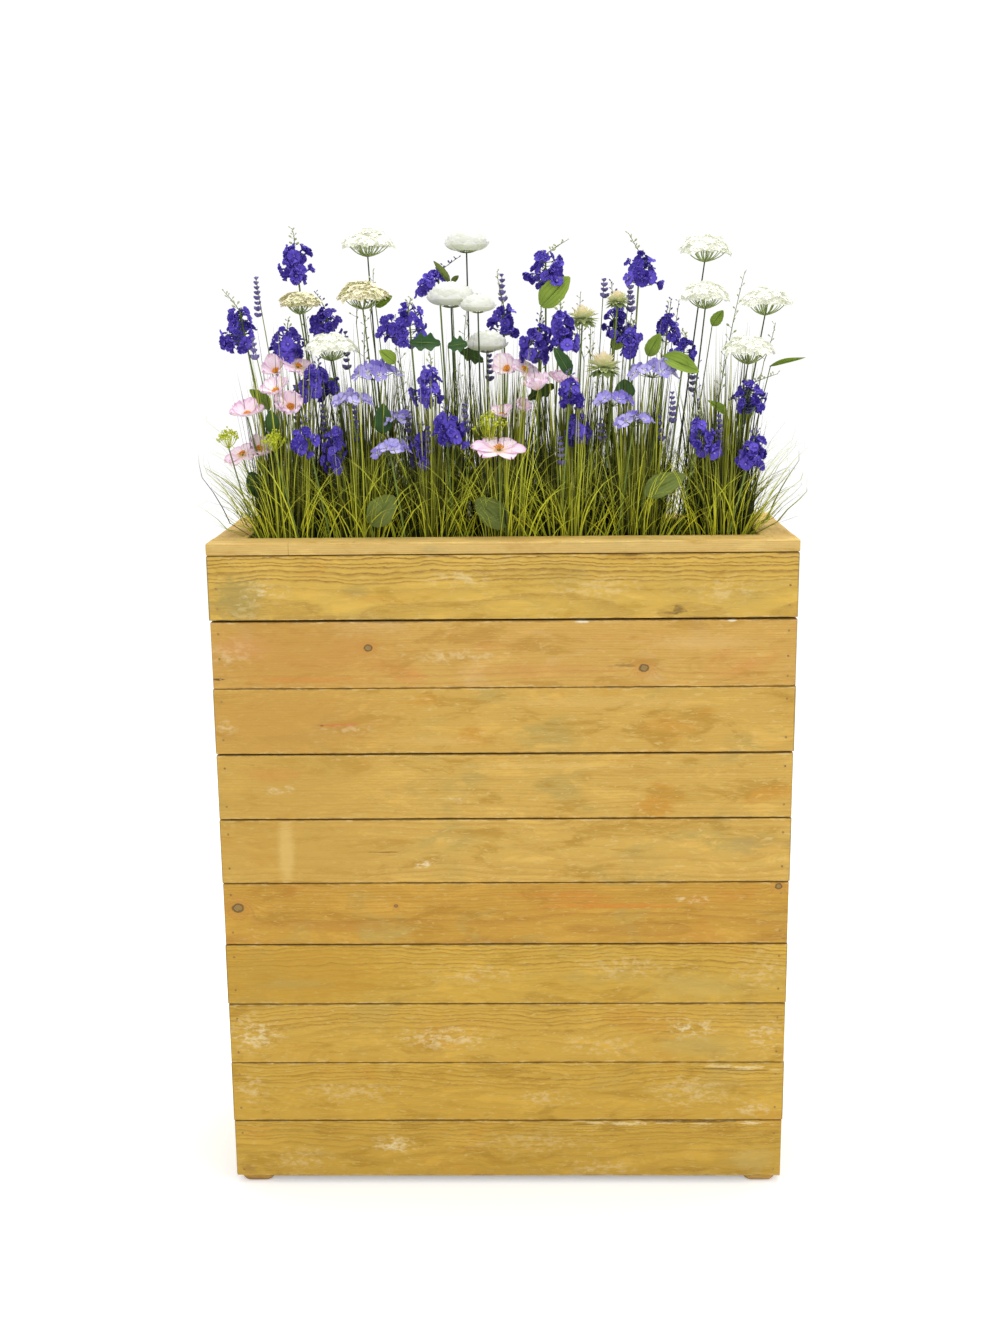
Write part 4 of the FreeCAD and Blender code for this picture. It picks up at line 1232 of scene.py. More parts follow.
# Width and height in mm of each spike's cloud of petals in the photograph, from left to right.
clouds = [
    (60, 80), (69, 62), (54, 69), (42, 51), (63, 62), (57, 55), (40, 84), (74, 73), (36, 66), (46, 70),
    (40, 60), (55, 60), (45, 59), (57, 63), (60, 65), (50, 70), (43, 50), (49, 54), (42, 62), (40, 57),
    (56, 65), (40, 55), (40, 46), (47, 62), (56, 54), (47, 60)]
LEANING_SPIKE = 10
for number, ((middle, half), (cloud_wide, cloud_tall)) in enumerate(zip(larkspurs, clouds)):
    wide, tall = cloud_wide * 1.15 / 2000, cloud_tall / 2000
    flowers = int(cloud_wide * cloud_tall / 160) + 3
    lean = np.append(dice.uniform(-0.2, 0.2, 2), 1.0)
    lean = unit([0.75, -0.1, 1.0] if number == LEANING_SPIKE else lean)
    share = (np.arange(flowers) + 0.5) / flowers + dice.uniform(-0.05, 0.05, flowers)
    share = np.clip(share, 0.01, 0.99)
    out = compass(spiral(flowers) + dice.uniform(-0.8, 0.8, flowers))
    rise = np.radians(-16 + 66 * share + dice.uniform(-34, 34, flowers))
    way = unit(out * np.cos(rise)[:, None] + lean * np.sin(rise)[:, None] + [0, -0.25, 0])
    girth = ((wide - 0.0085) * np.sin(math.pi * (0.24 + 0.7 * share)) ** 0.7
             * dice.uniform(0.35, 1.12, flowers))
    spine = middle + lean * ((tall - 0.004) * (-0.82 + 1.62 * share))[:, None]
    places = spine + out * girth[:, None]
    sizes = (1.02 - 0.24 * share) * dice.uniform(0.66, 1.06, flowers) * min(1.0, 0.55 + wide * 17)
    tones = dice.uniform(0, 1, flowers)
    pick = dice.integers(0, 5, flowers)
    turns = aim(way)
    for kind in range(5):
        own = pick == kind
        if own.any():
            scatter(blues, ruffled[kind], places[own], turns[own], sizes[own], tones[own])
    scatter(blues, pale_heart, places + way * 0.0008, turns, sizes * 0.8, tones, 1)
    stalks = through(spine - lean * 0.004, (spine + places) / 2 - lean * 0.003, places - way * 0.0015)
    tubes(blues, stalks, 0.0006, 4, 0.4, 2)
    spurs = through(places, places - way * 0.004, places - way * 0.008 - lean * 0.002)
    tubes(blues, spurs, np.array([0.0016, 0.0011, 0.0005]), 4, 0.5, 0)
    foot = middle + lean * tall * 0.7
    given = sprig_tips.get(number)
    if given:
        tip = np.array([given[0] / 1000, middle[1], given[1] / 1000])
    else:
        tip = unit(lean + np.append(dice.uniform(-0.25, 0.25, 2), 0))
        tip = foot + tip * dice.uniform(0.014, 0.03)
    bud_sprig(foot, tip, 10 if given else 6, 0.0022, 0.0075, int(dice.random() < 0.35) * 2)
    flower_stem(foot, 0.0019)
blue_cloth = cloth("blue_petals", "blue_heart", "stem_green")
blues.make("larkspur_flowers", blue_cloth, "planting", ["spire_heads"])
print("larkspur points:", blues.count)

# %% [markdown]
# Lace heads, pompoms and buttons
#
# A lace head is an umbrella: rays curve up from one point, and each carries a small dome of tiny
# white or cream flowers. A pompom is a flat ball of many broad petals that overlap in rings, with
# green sepals underneath that make a cup; its petals carry painted shade, a greener tone where the
# rings overlap and on the underside. A button is shaggy, with narrow cream petals over a collar of
# green leaves. From far away a dented ball would do for each. Close up only real petals give the
# shadows between them (in the pompoms helped by that painted shade), and the spiral of real flower
# heads fills each evenly.

# %% Lace heads
white_heap = Heap()
tiny_flower = flower_of(5, petal_sample(0.0052, 0.0058, 2, 2, 0.66, 0.5, cup=0.12), tilt=10)
RAYS, FILL, SPOKES, CREAM_LACES = 22, 420, 15, (0, 2)
for number, (middle, half) in enumerate(laces):
    cream = number in CREAM_LACES
    wide, tall = half[0] * 0.94, half[2] * 1.08
    hub = middle - [0, 0, half[2] + 0.005]
    share = fill_disc(RAYS)
    out = compass(spiral(RAYS) + dice.uniform(-0.3, 0.3, RAYS))
    rise = tall * (1.0 - 1.15 * share ** 2.2) + dice.uniform(-0.003, 0.003, RAYS)
    ends = middle + out * (wide * share)[:, None] + UP * rise[:, None]
    knees = hub + out * (wide * share * 0.7)[:, None] + UP * 0.003
    rays = arched(hub, knees, ends, 6)
    tubes(white_heap, rays, np.linspace(0.0011, 0.0006, 6), 4, dice.uniform(0.2, 1.0, RAYS), 5)
    share = fill_disc(FILL)
    spots = (compass(spiral(FILL)) * share[:, None] * wide
             + UP * (tall * (1.0 - 1.15 * share ** 2.2) - 0.0008)[:, None])
    spots = middle + spots + dice.normal(0, 0.0011, (FILL, 3))
    scatter(white_heap, tiny_flower, spots,
            aim(unit(spots - hub + [0, 0, 0.03]) + dice.normal(0, 0.2, (FILL, 3))),
            dice.uniform(0.9, 1.35, FILL), dice.uniform(0.2, 1, FILL), int(cream))
    for end, facing in zip(ends, unit(ends - hub + [0, 0, 0.03])):
        reach = 0.0074 * fill_disc(SPOKES, 0.3) * half[0] / 0.035
        dome = (compass(spiral(SPOKES) + dice.uniform(0, 6)) * reach[:, None]
                + UP * (0.0046 - reach ** 2 * 46)[:, None])
        spots = end + dome @ aim([facing], 0.0)[0].T + dice.normal(0, 0.0011, (SPOKES, 3))
        scatter(white_heap, tiny_flower, spots, aim(unit(facing + (spots - end) * 90)),
                dice.uniform(0.95, 1.4, SPOKES), dice.uniform(0.3, 1, SPOKES), int(cream))
        spokes = through(end - facing * 0.001, spots - facing * 0.0004)
        tubes(white_heap, spokes, 0.00025, 3, 0.6, int(cream))
    flower_stem(hub, 0.0016, dark=not cream)
print("lace head points:", white_heap.count)

# %% Pompoms
sepal = petal_sample(0.017, 0.01, 4, 3, 0.5, 0.7, cup=0.1)
PETAL_ROWS, PETAL_COLS = 9, 6
along, across = np.meshgrid(np.linspace(0, 1, PETAL_ROWS), np.linspace(-1, 1, PETAL_COLS), indexing="ij")
# A petal lies on the ball from this angle below its middle up to the angle of its ring.
LOWEST = -1.15
for middle, half in pompoms:
    half = half[0] * np.array([1.06, 1.06, 0.74])
    middle = middle + [0, 0, 0.003]
    for ring, top in enumerate(np.radians((8, 20, 31, 42, 53, 64, 75, 86))):
        petals = 9 if ring < 6 else 6
        rounded = np.where(along > 0.5, np.sqrt(np.clip(1 - ((along - 0.5) / 0.52) ** 2, 0, 1)), 1.0)
        fan = math.radians(32 + 4 * ring) * rounded
        for petal in range(petals):
            tip = top + dice.uniform(-0.05, 0.05)
            height = LOWEST + (tip - LOWEST) * along
            angle = petal * 2 * math.pi / petals + ring * GOLDEN_TURN + across * fan
            edge = 1 + 0.12 * along ** 5 * (1 - 0.6 * across ** 2) + 0.012 * np.sin(3 * across + petal)
            lift = np.sin(height) * np.where(height < 0, 0.5, 1.0) - 0.25
            wide = half[0] * (1 - 0.045 * ring) * np.cos(height) ** 0.7 * edge
            tall = half[2] * (0.96 - 0.01 * ring) * lift * edge
            # Low where a petal lies under the ring outside it and on the ball's underside, so the greener
            # heart tone there is painted shade.
            uncovered = np.clip((height - tip + 0.36) / 0.36, 0, 1)
            grow = np.stack([0.1 + 0.9 * uncovered, across, np.full_like(along, dice.random())], -1)
            points = compass(angle) * wide[..., None] + UP * tall[..., None] + middle
            white_heap.add(points, sheet_faces(PETAL_ROWS, PETAL_COLS), grow, 3)
    down = middle - [0, 0, half[2] * 0.86]
    heart = middle + [0, 0, half[2] * 0.58] + dice.normal(0, 0.0012, (9, 3)) * [1, 1, 0.3]
    scatter(white_heap, tiny_flower, heart, aim(UP + dice.normal(0, 0.35, (9, 3))), 1.1, dice.random(9), 3)
    way = compass(np.arange(6) * math.pi / 3, 0.28)
    scatter(white_heap, sepal, down, lay(way, -UP), half[0] / 0.03, dice.random(6), 2)
    flower_stem(down + [0, 0, 0.003], 0.0017, dark=True, sway=0.002)
print("with pompoms:", white_heap.count)

# %% Buttons
narrow = petal_sample(0.0125, 0.0036, 4, 2, 0.6, 0.6, cup=0.25, curl=0.22)
collar = petal_sample(0.014, 0.0075, 4, 3, 0.45, 0.7, cup=0.12, curl=-0.2)
SHAGGY = 120
for middle, half in buttons:
    share = (np.arange(SHAGGY) + 0.5) / SHAGGY
    rise = np.arcsin(np.clip(1.5 * share - 0.5, -1, 1)) + dice.uniform(-0.25, 0.25, SHAGGY)
    way = compass(spiral(SHAGGY)) * np.cos(rise)[:, None] + UP * np.sin(rise)[:, None]
    sizes = half[0] / 0.0092 * (1.1 - 0.35 * share) * dice.uniform(0.8, 1.12, SHAGGY)
    places = middle - [0, 0, half[2] * 0.4]
    scatter(white_heap, narrow, places, lay(way, UP + way * 0.01), sizes, 1 - 0.8 * share, 4)
    for level, droop in ((0.55, 0.1), (0.75, -0.25)):
        way = compass(np.arange(9) * 0.698 + level, droop)
        scatter(white_heap, collar, middle - [0, 0, half[2] * level], lay(way),
                half[0] / 0.01 * dice.uniform(0.8, 1.1, 9), dice.random(9), 5)
    flower_stem(middle - [0, 0, half[2] * 0.6], 0.0018)
white_cloth = cloth("white_petals", "cream_petals", "stem_green", "pompom_petals", "button_petals",
                    "button_collar")
white_heap.make("white_heads_in_detail", white_cloth, "planting", ["white_heads"])
print("all white heads:", white_heap.count, "points")

# %% [markdown]
# Anemones, phlox and dill
#
# Anemones are broad cups of thin petals, nearly white with pink rims, with orange stamens in the
# middle. Phlox heads are flat domes of lilac flowers, each with a yellow eye. Dill sprays are rays
# with yellow-green beads. One shape in three colours would be quicker, but their outlines differ
# more than their colours do. Each anemone's width and facing is read off the photograph.

# %% Anemones
low_heap = Heap()
broad = []
for kind in range(4):
    petal = petal_sample(0.031, 0.025, 9, 8, 0.62, 0.58, cup=0.14, curl=0.08 + 0.07 * kind,
                         ruffle=0.002 + 0.0009 * kind, waves=1.5 + 0.5 * kind, notch=0.08)
    broad.append(flower_of(6 + kind % 2, petal, tilt=10 + 9 * kind, gap=0.001, wobble=0.22))
# For each anemone from left to right: its width in mm and how it faces, then for a second one beside it
# how far off it stands in mm, and its own width and facing.
anemone_looks = [
    (56, (-0.3, -0.6, 1.0), (28, -8, 6), 52, (0.4, -0.9, 0.7)),
    (56, (-0.1, -0.5, 1.0), None, 0, None),
    (54, (-0.35, -0.75, 0.8), (33, 4, 4), 62, (0.35, -0.35, 1.0)),
    (60, (0.05, -1.0, 0.5), (-22, 10, 22), 52, (-0.3, -0.6, 0.9)),
    (80, (0.1, -0.4, 1.0), None, 0, None),
    (42, (-0.2, -0.4, 1.0), (30, 6, 4), 38, (0.3, -0.6, 0.9)),
    (54, (-0.45, -0.9, 0.7), (26, 4, -3), 56, (0.5, -0.45, 1.0)),
    (56, (-0.3, -0.35, 1.0), (36, 6, 6), 50, (0.35, -0.3, 1.0))]
STAMENS = 34


def anemone(place, width, facing, kind):
    """An open flower with its stamens, heart and stem; width is in millimetres."""
    facing = unit(facing)
    size = width / 64
    scatter(low_heap, broad[kind % 4], [place], aim([facing]), size, dice.uniform(0.3, 0.9))
    reach = 0.0062 * fill_disc(STAMENS)
    rise = 0.0066 - reach * 0.25 + dice.uniform(-0.001, 0.001, STAMENS)
    ends = compass(spiral(STAMENS)) * reach[:, None] + UP * rise[:, None]
    ends = place + (ends * size) @ aim([facing], 0.0)[0].T
    tubes(low_heap, through(place, (place + ends) / 2 + facing * 0.0005, ends), 0.0003, 3, 0.7, 1)
    scatter(low_heap, bud, ends, aim(ends - place), np.full(STAMENS, 0.001), dice.random(STAMENS), 1)
    heart = np.array([[0.003, 0.003, 0.0028]]) * size
    scatter(low_heap, bud, [place + facing * 0.002], aim([facing]), heart, 0.2, 3)
    flower_stem(place - [0, 0, 0.002], 0.0015)


for number, ((middle, half), look) in enumerate(zip(anemones, anemone_looks)):
    width, facing, beside, second_width, second_facing = look
    anemone(middle - unit(facing) * half[2] * 0.4, width, facing, number)
    if beside:
        anemone(middle + np.array(beside) / 1000, second_width, second_facing, number + 2)
print("anemone points:", low_heap.count)

# %% Phlox
phlox_flowers = []
for kind in range(3):
    petal = petal_sample(0.0128, 0.0104, 5, 4, 0.7, 0.6, cup=0.1 * kind, curl=0.05 + 0.08 * kind,
                         ruffle=0.0008 + 0.0003 * kind, waves=1.5, notch=0.08)
    phlox_flowers.append(flower_of(5, petal, tilt=4 + 10 * kind, gap=0.0008, wobble=0.2))
CLUSTER = 15
for middle, half in phloxes:
    share = fill_disc(CLUSTER, 0.4)
    out = compass(spiral(CLUSTER) + dice.uniform(-0.3, 0.3, CLUSTER))
    rise = half[2] * (0.5 - 0.7 * share ** 2) + dice.uniform(-0.003, 0.003, CLUSTER)
    places = middle + out * ((half[0] * 1.08 - 0.006) * share)[:, None] + UP * rise[:, None]
    way = unit(out * (0.85 * share)[:, None] + [0, -0.35, 0.75] + dice.uniform(-0.38, 0.38, (CLUSTER, 3)))
    tones, turns = dice.random(CLUSTER), aim(way)
    sizes = half[0] / 0.032 * dice.uniform(0.8, 1.15, CLUSTER)
    for kind in range(3):
        own = slice(kind, None, 3)
        scatter(low_heap, phlox_flowers[kind], places[own], turns[own], sizes[own], tones[own], 2)
    scatter(low_heap, bud, places + way * 0.0006, turns, np.full(CLUSTER, 0.0009), tones, 4)
    hub = middle - [0, 0, half[2] * 0.7]
    tubes(low_heap, arched(hub, (hub + places) / 2 - [0, 0, 0.002], places, 5), 0.0005, 4, 0.5, 3)
    flower_stem(hub, 0.0018)
print("with phlox:", low_heap.count)

# %% Dill
DILL_RAYS, BEADS, FULL_DILL = 18, 6, 2
for number, (middle, half) in enumerate(dills):
    wide, stout = half[0] * 1.2, 1.15
    if number == FULL_DILL:
        middle, wide, stout = middle + [0.03, -0.014, 0], half[0] * 1.8, 1.3
    hub = middle - [0, 0, wide * 1.1]
    share = fill_disc(DILL_RAYS)
    ends = (compass(spiral(DILL_RAYS)) * share[:, None] * wide
            + UP * (wide * (0.7 - 0.9 * share ** 2))[:, None])
    ends = middle + ends
    rays = through(hub, (hub + ends) / 2 + (ends - middle) * 0.15, ends)
    tubes(low_heap, rays, 0.0004 * stout, 3, 0.6, 4)
    for end in ends:
        beads = end + dice.normal(0, 0.0024, (BEADS, 3))
        scatter(low_heap, bud, beads, aim(unit(beads - hub)), dice.uniform(0.0008, 0.0015, BEADS) * stout,
                dice.random(BEADS), 4)
        tubes(low_heap, through(end, beads), 0.0003, 3, 0.6, 4)
    flower_stem(hub, 0.0014)
low_cloth = cloth("pink_petals", "stamen_orange", "lilac_petals", "stem_green", "dill_yellow")
low_heap.make("low_flowers", low_cloth, "planting", ["low_heads"])
print("all low flowers:", low_heap.count, "points")

# %% [markdown]
# Lavender and bud sprigs
#
# Between the big flowers stand thin lavender spikes and sprigs with pale buds. The photograph shows
# the front ones; a few more stand behind, so that the planting is as full from the back. All of
# them start in the foam, and lean outwards as the others do.

# %% Lavender
# Each lavender spike as (x, y, height of its lowest flower, height of its tip), in millimetres.
lavender_rows = [
    (-370, -20, 1372, 1428), (-372, -60, 1310, 1338), (2, 40, 1392, 1430), (-270, -60, 1190, 1238),
    (-223, -60, 1186, 1242), (-141, -60, 1187, 1235), (-54, -70, 1200, 1238), (259, -60, 1210, 1253),
    (152, -60, 1184, 1214), (241, -60, 1183, 1217), (328, -80, 1160, 1219), (199, 20, 1375, 1424),
    (159, 20, 1396, 1421), (-246, 60, 1290, 1345), (-20, 66, 1270, 1330), (120, 70, 1210, 1262),
    (300, 62, 1250, 1310), (-330, 72, 1200, 1262), (380, 50, 1200, 1250), (-110, -82, 1168, 1205),
    (90, -84, 1150, 1188)]
lavender = Heap()
floret = bead_sample(4, 5)
for x, y, low_z, high_z in lavender_rows:
    foot, tip = np.array([x, y, low_z]) / 1000, np.array([x - 1.5, y, high_z]) / 1000
    whorls = max(4, int((high_z - low_z) / 7.0))
    share = np.linspace(0, 1, whorls) ** 0.9
    for height, at in zip(share, foot + (tip - foot) * share[:, None]):
        count = 6 if height < 0.9 else 3
        out = unit(compass(np.arange(count) * 2 * math.pi / count + height * 9, 0.9))
        turns = aim(out)
        sizes = (np.array([[0.0026, 0.0026, 0.0046]]) * dice.uniform(0.7, 1.25, (count, 1))
                 * (1.15 - 0.4 * height))
        scatter(lavender, floret, at + out * 0.0036 * (1.2 - 0.6 * height), turns, sizes,
                dice.random(count))
    flower_stem(tip, 0.001, sway=0.003)
lavender.make("lavender_spikes", cloth("lavender_buds"), "planting", ())
print("lavender:", lavender.count, "points")

# %% Bud sprigs
# Each sprig as (x, y, z of its foot, x and z of its tip) in millimetres, and its buds.
sprig_rows = [
    (346, -20, 1325, 368, 1432, 12), (400, -20, 1298, 416, 1356, 9), (121, 30, 1330, 122, 1404, 12),
    (137, 30, 1300, 139, 1372, 12), (128, 34, 1300, 112, 1380, 10), (-225, 20, 1360, -226, 1420, 9),
    (-203, 20, 1370, -197, 1441, 10), (-214, 16, 1300, -210, 1372, 12), (-60, 44, 1320, -52, 1395, 9),
    (196, 24, 1340, 202, 1400, 8), (262, 6, 1330, 272, 1392, 8), (-150, -66, 1210, -146, 1290, 10),
    (-70, -60, 1220, -64, 1300, 9), (30, -66, 1200, 28, 1280, 9), (140, -66, 1220, 146, 1296, 9),
    (290, -60, 1230, 296, 1300, 9), (330, -50, 1250, 338, 1330, 9), (-300, 60, 1300, -312, 1400, 10),
    (-160, 70, 1280, -168, 1372, 10), (60, 74, 1270, 64, 1366, 10), (250, 70, 1290, 262, 1390, 10)]
PURPLE_SPRIGS = (9, 10, 15)
for number, (x, y, low_z, tip_x, high_z, buds) in enumerate(sprig_rows):
    foot, tip = np.array([x, y, low_z]) / 1000, np.array([tip_x, y, high_z]) / 1000
    bud_sprig(foot, tip, buds, 0.0021, 0.009, 2 if number in PURPLE_SPRIGS else 0)
    flower_stem(foot, 0.0009, sway=0.003)
sprigs.make("bud_sprigs", cloth("bud_green", "stem_green", "lavender_buds"), "planting", ())
print("sprigs:", sprigs.count, "points")

# %% [markdown]
# Leaves
#
# The leaves are pressed cloth or soft plastic, slightly folded lengthwise: round ones low at the
# front, bright ovals and long ones among the flowers, and dark lobed ones near the pompoms. There
# is one sample per outline, stretched to each leaf's own length and width. Each leaf hangs on its
# own thin stalk, which starts in the foam. The back row repeats them at other heights.

# %% Leaves
leaves = Heap()
leaf_shapes = {
    "oval": petal_sample(1.0, 1.0, 14, 6, 0.42, 0.75, cup=0.16, curl=-0.12, saw=0.1, teeth=9),
    "round": petal_sample(1.0, 1.0, 14, 6, 0.46, 0.6, cup=0.1, curl=-0.1, ruffle=0.012, saw=0.06,
                          teeth=12),
    "long": petal_sample(1.0, 1.0, 12, 4, 0.4, 0.9, cup=0.2, curl=-0.1),
    "lobed": petal_sample(1.0, 1.0, 18, 8, 0.5, 0.6, cup=0.12, curl=-0.12, ruffle=0.02, waves=3,
                          saw=0.1, teeth=7, lobes=0.42)}
# Each leaf as its kind, its foot and tip (x, y, z) and its width in millimetres, and its green: 0 is lime,
# 1 dark and 2 olive.
leaf_rows = [
    ("oval", (60, 10, 1383), (104, 2, 1428), 40, 0),
    ("oval", (243, -60, 1309), (297, -72, 1287), 31, 0),
    ("oval", (222, -30, 1308), (240, -38, 1342), 24, 0),
    ("oval", (104, -70, 1282), (80, -78, 1324), 23, 1),
    ("oval", (322, 0, 1352), (338, -6, 1375), 19, 0),
    ("long", (409, -20, 1291), (463, -26, 1305), 8, 0),
    ("lobed", (-90, -70, 1331), (-136, -78, 1334), 34, 1),
    ("lobed", (-80, -70, 1327), (-51, -78, 1331), 31, 1),
    ("oval", (-160, -50, 1302), (-183, -56, 1322), 22, 0),
    ("oval", (-194, 10, 1386), (-168, 4, 1402), 18, 0),
    ("oval", (-80, 40, 1420), (-104, 34, 1455), 12, 2),
    ("oval", (-78, 40, 1421), (-66, 36, 1432), 9, 2),
    ("round", (-201, -94, 1062), (-163, -101, 1106), 44, 2),
    ("round", (6, -94, 1058), (-39, -101, 1101), 44, 2),
    ("oval", (214, -94, 1105), (275, -102, 1136), 38, 2),
    ("oval", (-181, -70, 1197), (-178, -76, 1243), 30, 1),
    ("oval", (-345, -80, 1200), (-347, -86, 1235), 24, 1),
    ("long", (341, -60, 1221), (311, -66, 1244), 14, 0),
    ("round", (186, -40, 1242), (187, -46, 1274), 33, 1),
    ("round", (-374, -50, 1100), (-386, -58, 1140), 30, 1),
    ("oval", (120, 88, 1070), (80, 96, 1110), 40, 2),
    ("round", (-150, 88, 1064), (-112, 97, 1104), 42, 2),
    ("oval", (300, 86, 1080), (330, 96, 1128), 36, 1),
    ("lobed", (40, 70, 1240), (80, 84, 1262), 34, 1),
    ("oval", (-260, 72, 1250), (-296, 84, 1276), 30, 0),
    ("oval", (170, 60, 1320), (206, 72, 1340), 28, 0),
    ("lobed", (-30, 64, 1300), (-66, 78, 1318), 32, 1),
    ("oval", (370, 40, 1200), (398, 52, 1232), 26, 0),
    ("oval", (-366, 30, 1230), (-396, 34, 1262), 26, 0)]
BACK_ROW_Y = 0.03
for kind, foot, tip, wide, finish in leaf_rows:
    foot, tip, wide = np.array(foot) / 1000, np.array(tip) / 1000, wide / 1000
    length = np.linalg.norm(tip - foot)
    facing = np.array([0.15, -1.0 if foot[1] < BACK_ROW_Y else 1.0, 0.45])
    sizes = np.array([[length, wide, (length + wide) / 2]])
    scatter(leaves, leaf_shapes[kind], [foot], lay([tip - foot], facing), sizes, dice.uniform(0.2, 0.9),
            finish)
    rib = bow(foot, foot + (tip - foot) * 0.92, (0, 0, 0), 5)
    tubes(leaves, rib + facing * -0.0006, np.linspace(0.0009, 0.0003, 5), 4, 0.4, 3)
    flower_stem(foot + (tip - foot) * 0.02, 0.0011, sway=0.004)
leaves.make("leaves", cloth("leaf_lime", "leaf_dark", "leaf_olive", "stem_green"), "planting", ())
stems.make("stems_in_detail", cloth("stem_green", "stem_dark"), "planting", ["flower_stems"])
print("leaves", leaves.count, "stems", stems.count, "points")

# %% [markdown]
# Grass
#
# The grass is thousands of thin plastic blades, set in fourteen tufts, seven along and two deep.
# Hair strands could make them, but the exported model needs real faces, so each blade is a folded
# strip. Most stand nearly straight and end a hand above the rim. Some arch over and fan out at the
# ends of the box, and thin ones reach up between the flowers. Each blade bends more and more
# towards its tip. Below the top of the rim a blade is kept inside the trough, so that none sinks
# into the rim.

# %% Blade finish
blade_finish, shader, spot = new_finish("grass_blades")
along, _, tone = split(put(blade_finish.node_tree, "Attribute", attribute_name="grow").outputs["Vector"])
olive = mix(fade(tone, 0.05, 0.95), paint(24, 33, 2), paint(214, 220, 64))
low_part = mix(tone, paint(14, 20, 1), paint(162, 169, 18))
streak = mottle(spot, (900, 900, 30), 3.0, 0.6)
colour = mix(fade(along, 0.0, 0.5), low_part, olive)
colour = tint(colour, times(fade(along, 0.66, 1.0, 0.0, 0.85), tone), (204, 208, 96))
colour = tint(colour, times(fade(streak, 0.55, 0.75, 0.0, 0.4), tone), (200, 202, 96))
dress(shader, colour, fade(streak, 0.2, 0.8, 0.5, 0.7), streak, 0.3, 0.0003)
shader.inputs["Specular IOR Level"].default_value = 0.25
print("built", blade_finish.name)

# %% Blade maker
# Just above the rim's top.
RIM_TOP = 1.05
TROUGH_HALF, SPREAD_HALF = (0.381, 0.094), (0.462, 0.172)
blades = Heap()


def grass(feet, ways, lengths, leans, bends, wide, steps, power, tones, blunt):
    """Blades from feet; ways is the compass direction of each, leans and bends the angles at foot and tip."""
    count = len(feet)
    share = np.linspace(0, 1, steps + 1)
    angle = leans[:, None] + (bends - leans)[:, None] * share[None] ** power
    step = (lengths / steps)[:, None]
    start = np.zeros((count, 1))
    flat = np.concatenate([start, np.cumsum(np.sin(angle[:, :-1]) * step, 1)], 1)
    up = np.concatenate([start, np.cumsum(np.cos(angle[:, :-1]) * step, 1)], 1)
    path = feet[:, None] + compass(ways)[:, None] * flat[..., None] + UP * up[..., None]
    inside = path[..., 2] < RIM_TOP
    for axis in (0, 1):
        reach = np.where(inside, TROUGH_HALF[axis], SPREAD_HALF[axis])
        path[..., axis] = np.clip(path[..., axis], -reach, reach)
    turn = ways + dice.uniform(-1.2, 1.2, count) + math.pi / 2
    taper = np.clip(1.0 - share ** blunt, 0.06, 1) * (0.75 + 0.25 * np.sin(share * 3.1))
    width = (wide[:, None] * taper)[..., None]
    across = compass(turn)[:, None] * width / 2
    fold = compass(turn + math.pi / 2)[:, None] * width * 0.22
    points = np.stack([path - across, path + fold, path + across], 2)
    sides = np.array([-1.0, 0, 1])[None, None]
    grow = np.stack(np.broadcast_arrays(share[None, :, None], sides, tones[:, None, None]), -1)
    blades.add(points, repeated(sheet_faces(steps + 1, 3), count, (steps + 1) * 3), grow)


print("no blade goes further out than", SPREAD_HALF, "m")

# %% Tufts and single blades
# Per kind of blade: how many in a tuft, the ranges of its length, how far it leans, the ranges of its bend
# and width, how sudden the bend is, the range of its tone, the share darkened as painted shade, and how
# blunt the tip is.
kinds_of_blade = [
    (380, (0.215, 0.33), 0.06, (0.05, 0.5), (0.0024, 0.004), 2.6, (0.1, 1.0), 0.85, 2.6),
    (56, (0.24, 0.36), 0.1, (0.9, 2.4), (0.0017, 0.0025), 2.6, (0.4, 1.0), 0.2, 2.6),
    (36, (0.28, 0.41), 0.12, (1.5, 2.9), (0.0016, 0.0022), 3.1, (0.85, 1.1), 0.0, 2.6),
    (112, (0.3, 0.42), 0.045, (0.02, 0.3), (0.0021, 0.0033), 2.0, (0.1, 0.9), 0.65, 6.0),
    (30, (0.38, 0.49), 0.05, (0.02, 0.3), (0.0015, 0.0021), 2.0, (0.1, 0.7), 0.5, 6.0)]
for low, high in cad_islands("grass_tufts"):
    middle, half = (low + high) / 2, (high - low) / 2
    for count, length_span, lean, bend_span, width_span, power, tone_span, painted_shade_share, blunt in kinds_of_blade:
        around = dice.uniform(0, 2 * math.pi, count)
        radius = np.sqrt(dice.random(count)) * 0.78
        feet = compass(around) * (half * radius[:, None] * 1.1)
        feet = feet * [1, 1, 0] + [middle[0], middle[1], FOAM_TOP - 0.003]
        ways = around + dice.uniform(-0.7, 0.7, count)
        tones = dice.uniform(*tone_span, count)
        # Painted shade: blades at a tuft's left and right sides are more often darkened, as in the gaps
        # between tufts.
        tones[dice.random(count) < painted_shade_share * (0.25 + 1.2 * radius * np.abs(np.cos(around)))] *= 0.15
        lengths = dice.uniform(*length_span, count)
        leans = dice.uniform(0, lean * 2, count) * radius
        bends = dice.uniform(*bend_span, count)
        wide = dice.uniform(*width_span, count)
        steps = 12 if power > 3 else 9
        grass(feet, ways, lengths, leans, bends, wide, steps, power, tones, blunt)
    outward, count = math.copysign(1, middle[1]), 24
    feet = np.stack([middle[0] + half[0] * dice.uniform(-1, 1, count),
                     middle[1] + outward * half[1] * dice.uniform(0.5, 0.85, count),
                     np.full(count, FOAM_TOP)], -1)
    ways = np.arctan2(outward * dice.uniform(0.0, 0.9, count), dice.choice([-1.0, 1.0], count))
    looks = [dice.uniform(*span, count) for span in
             ((0.25, 0.35), (0.02, 0.12), (1.2, 2.8), (0.0019, 0.0027), (0.8, 1.15))]
    grass(feet, ways, *looks[:4], 13, 3.0, looks[4], 4.0)
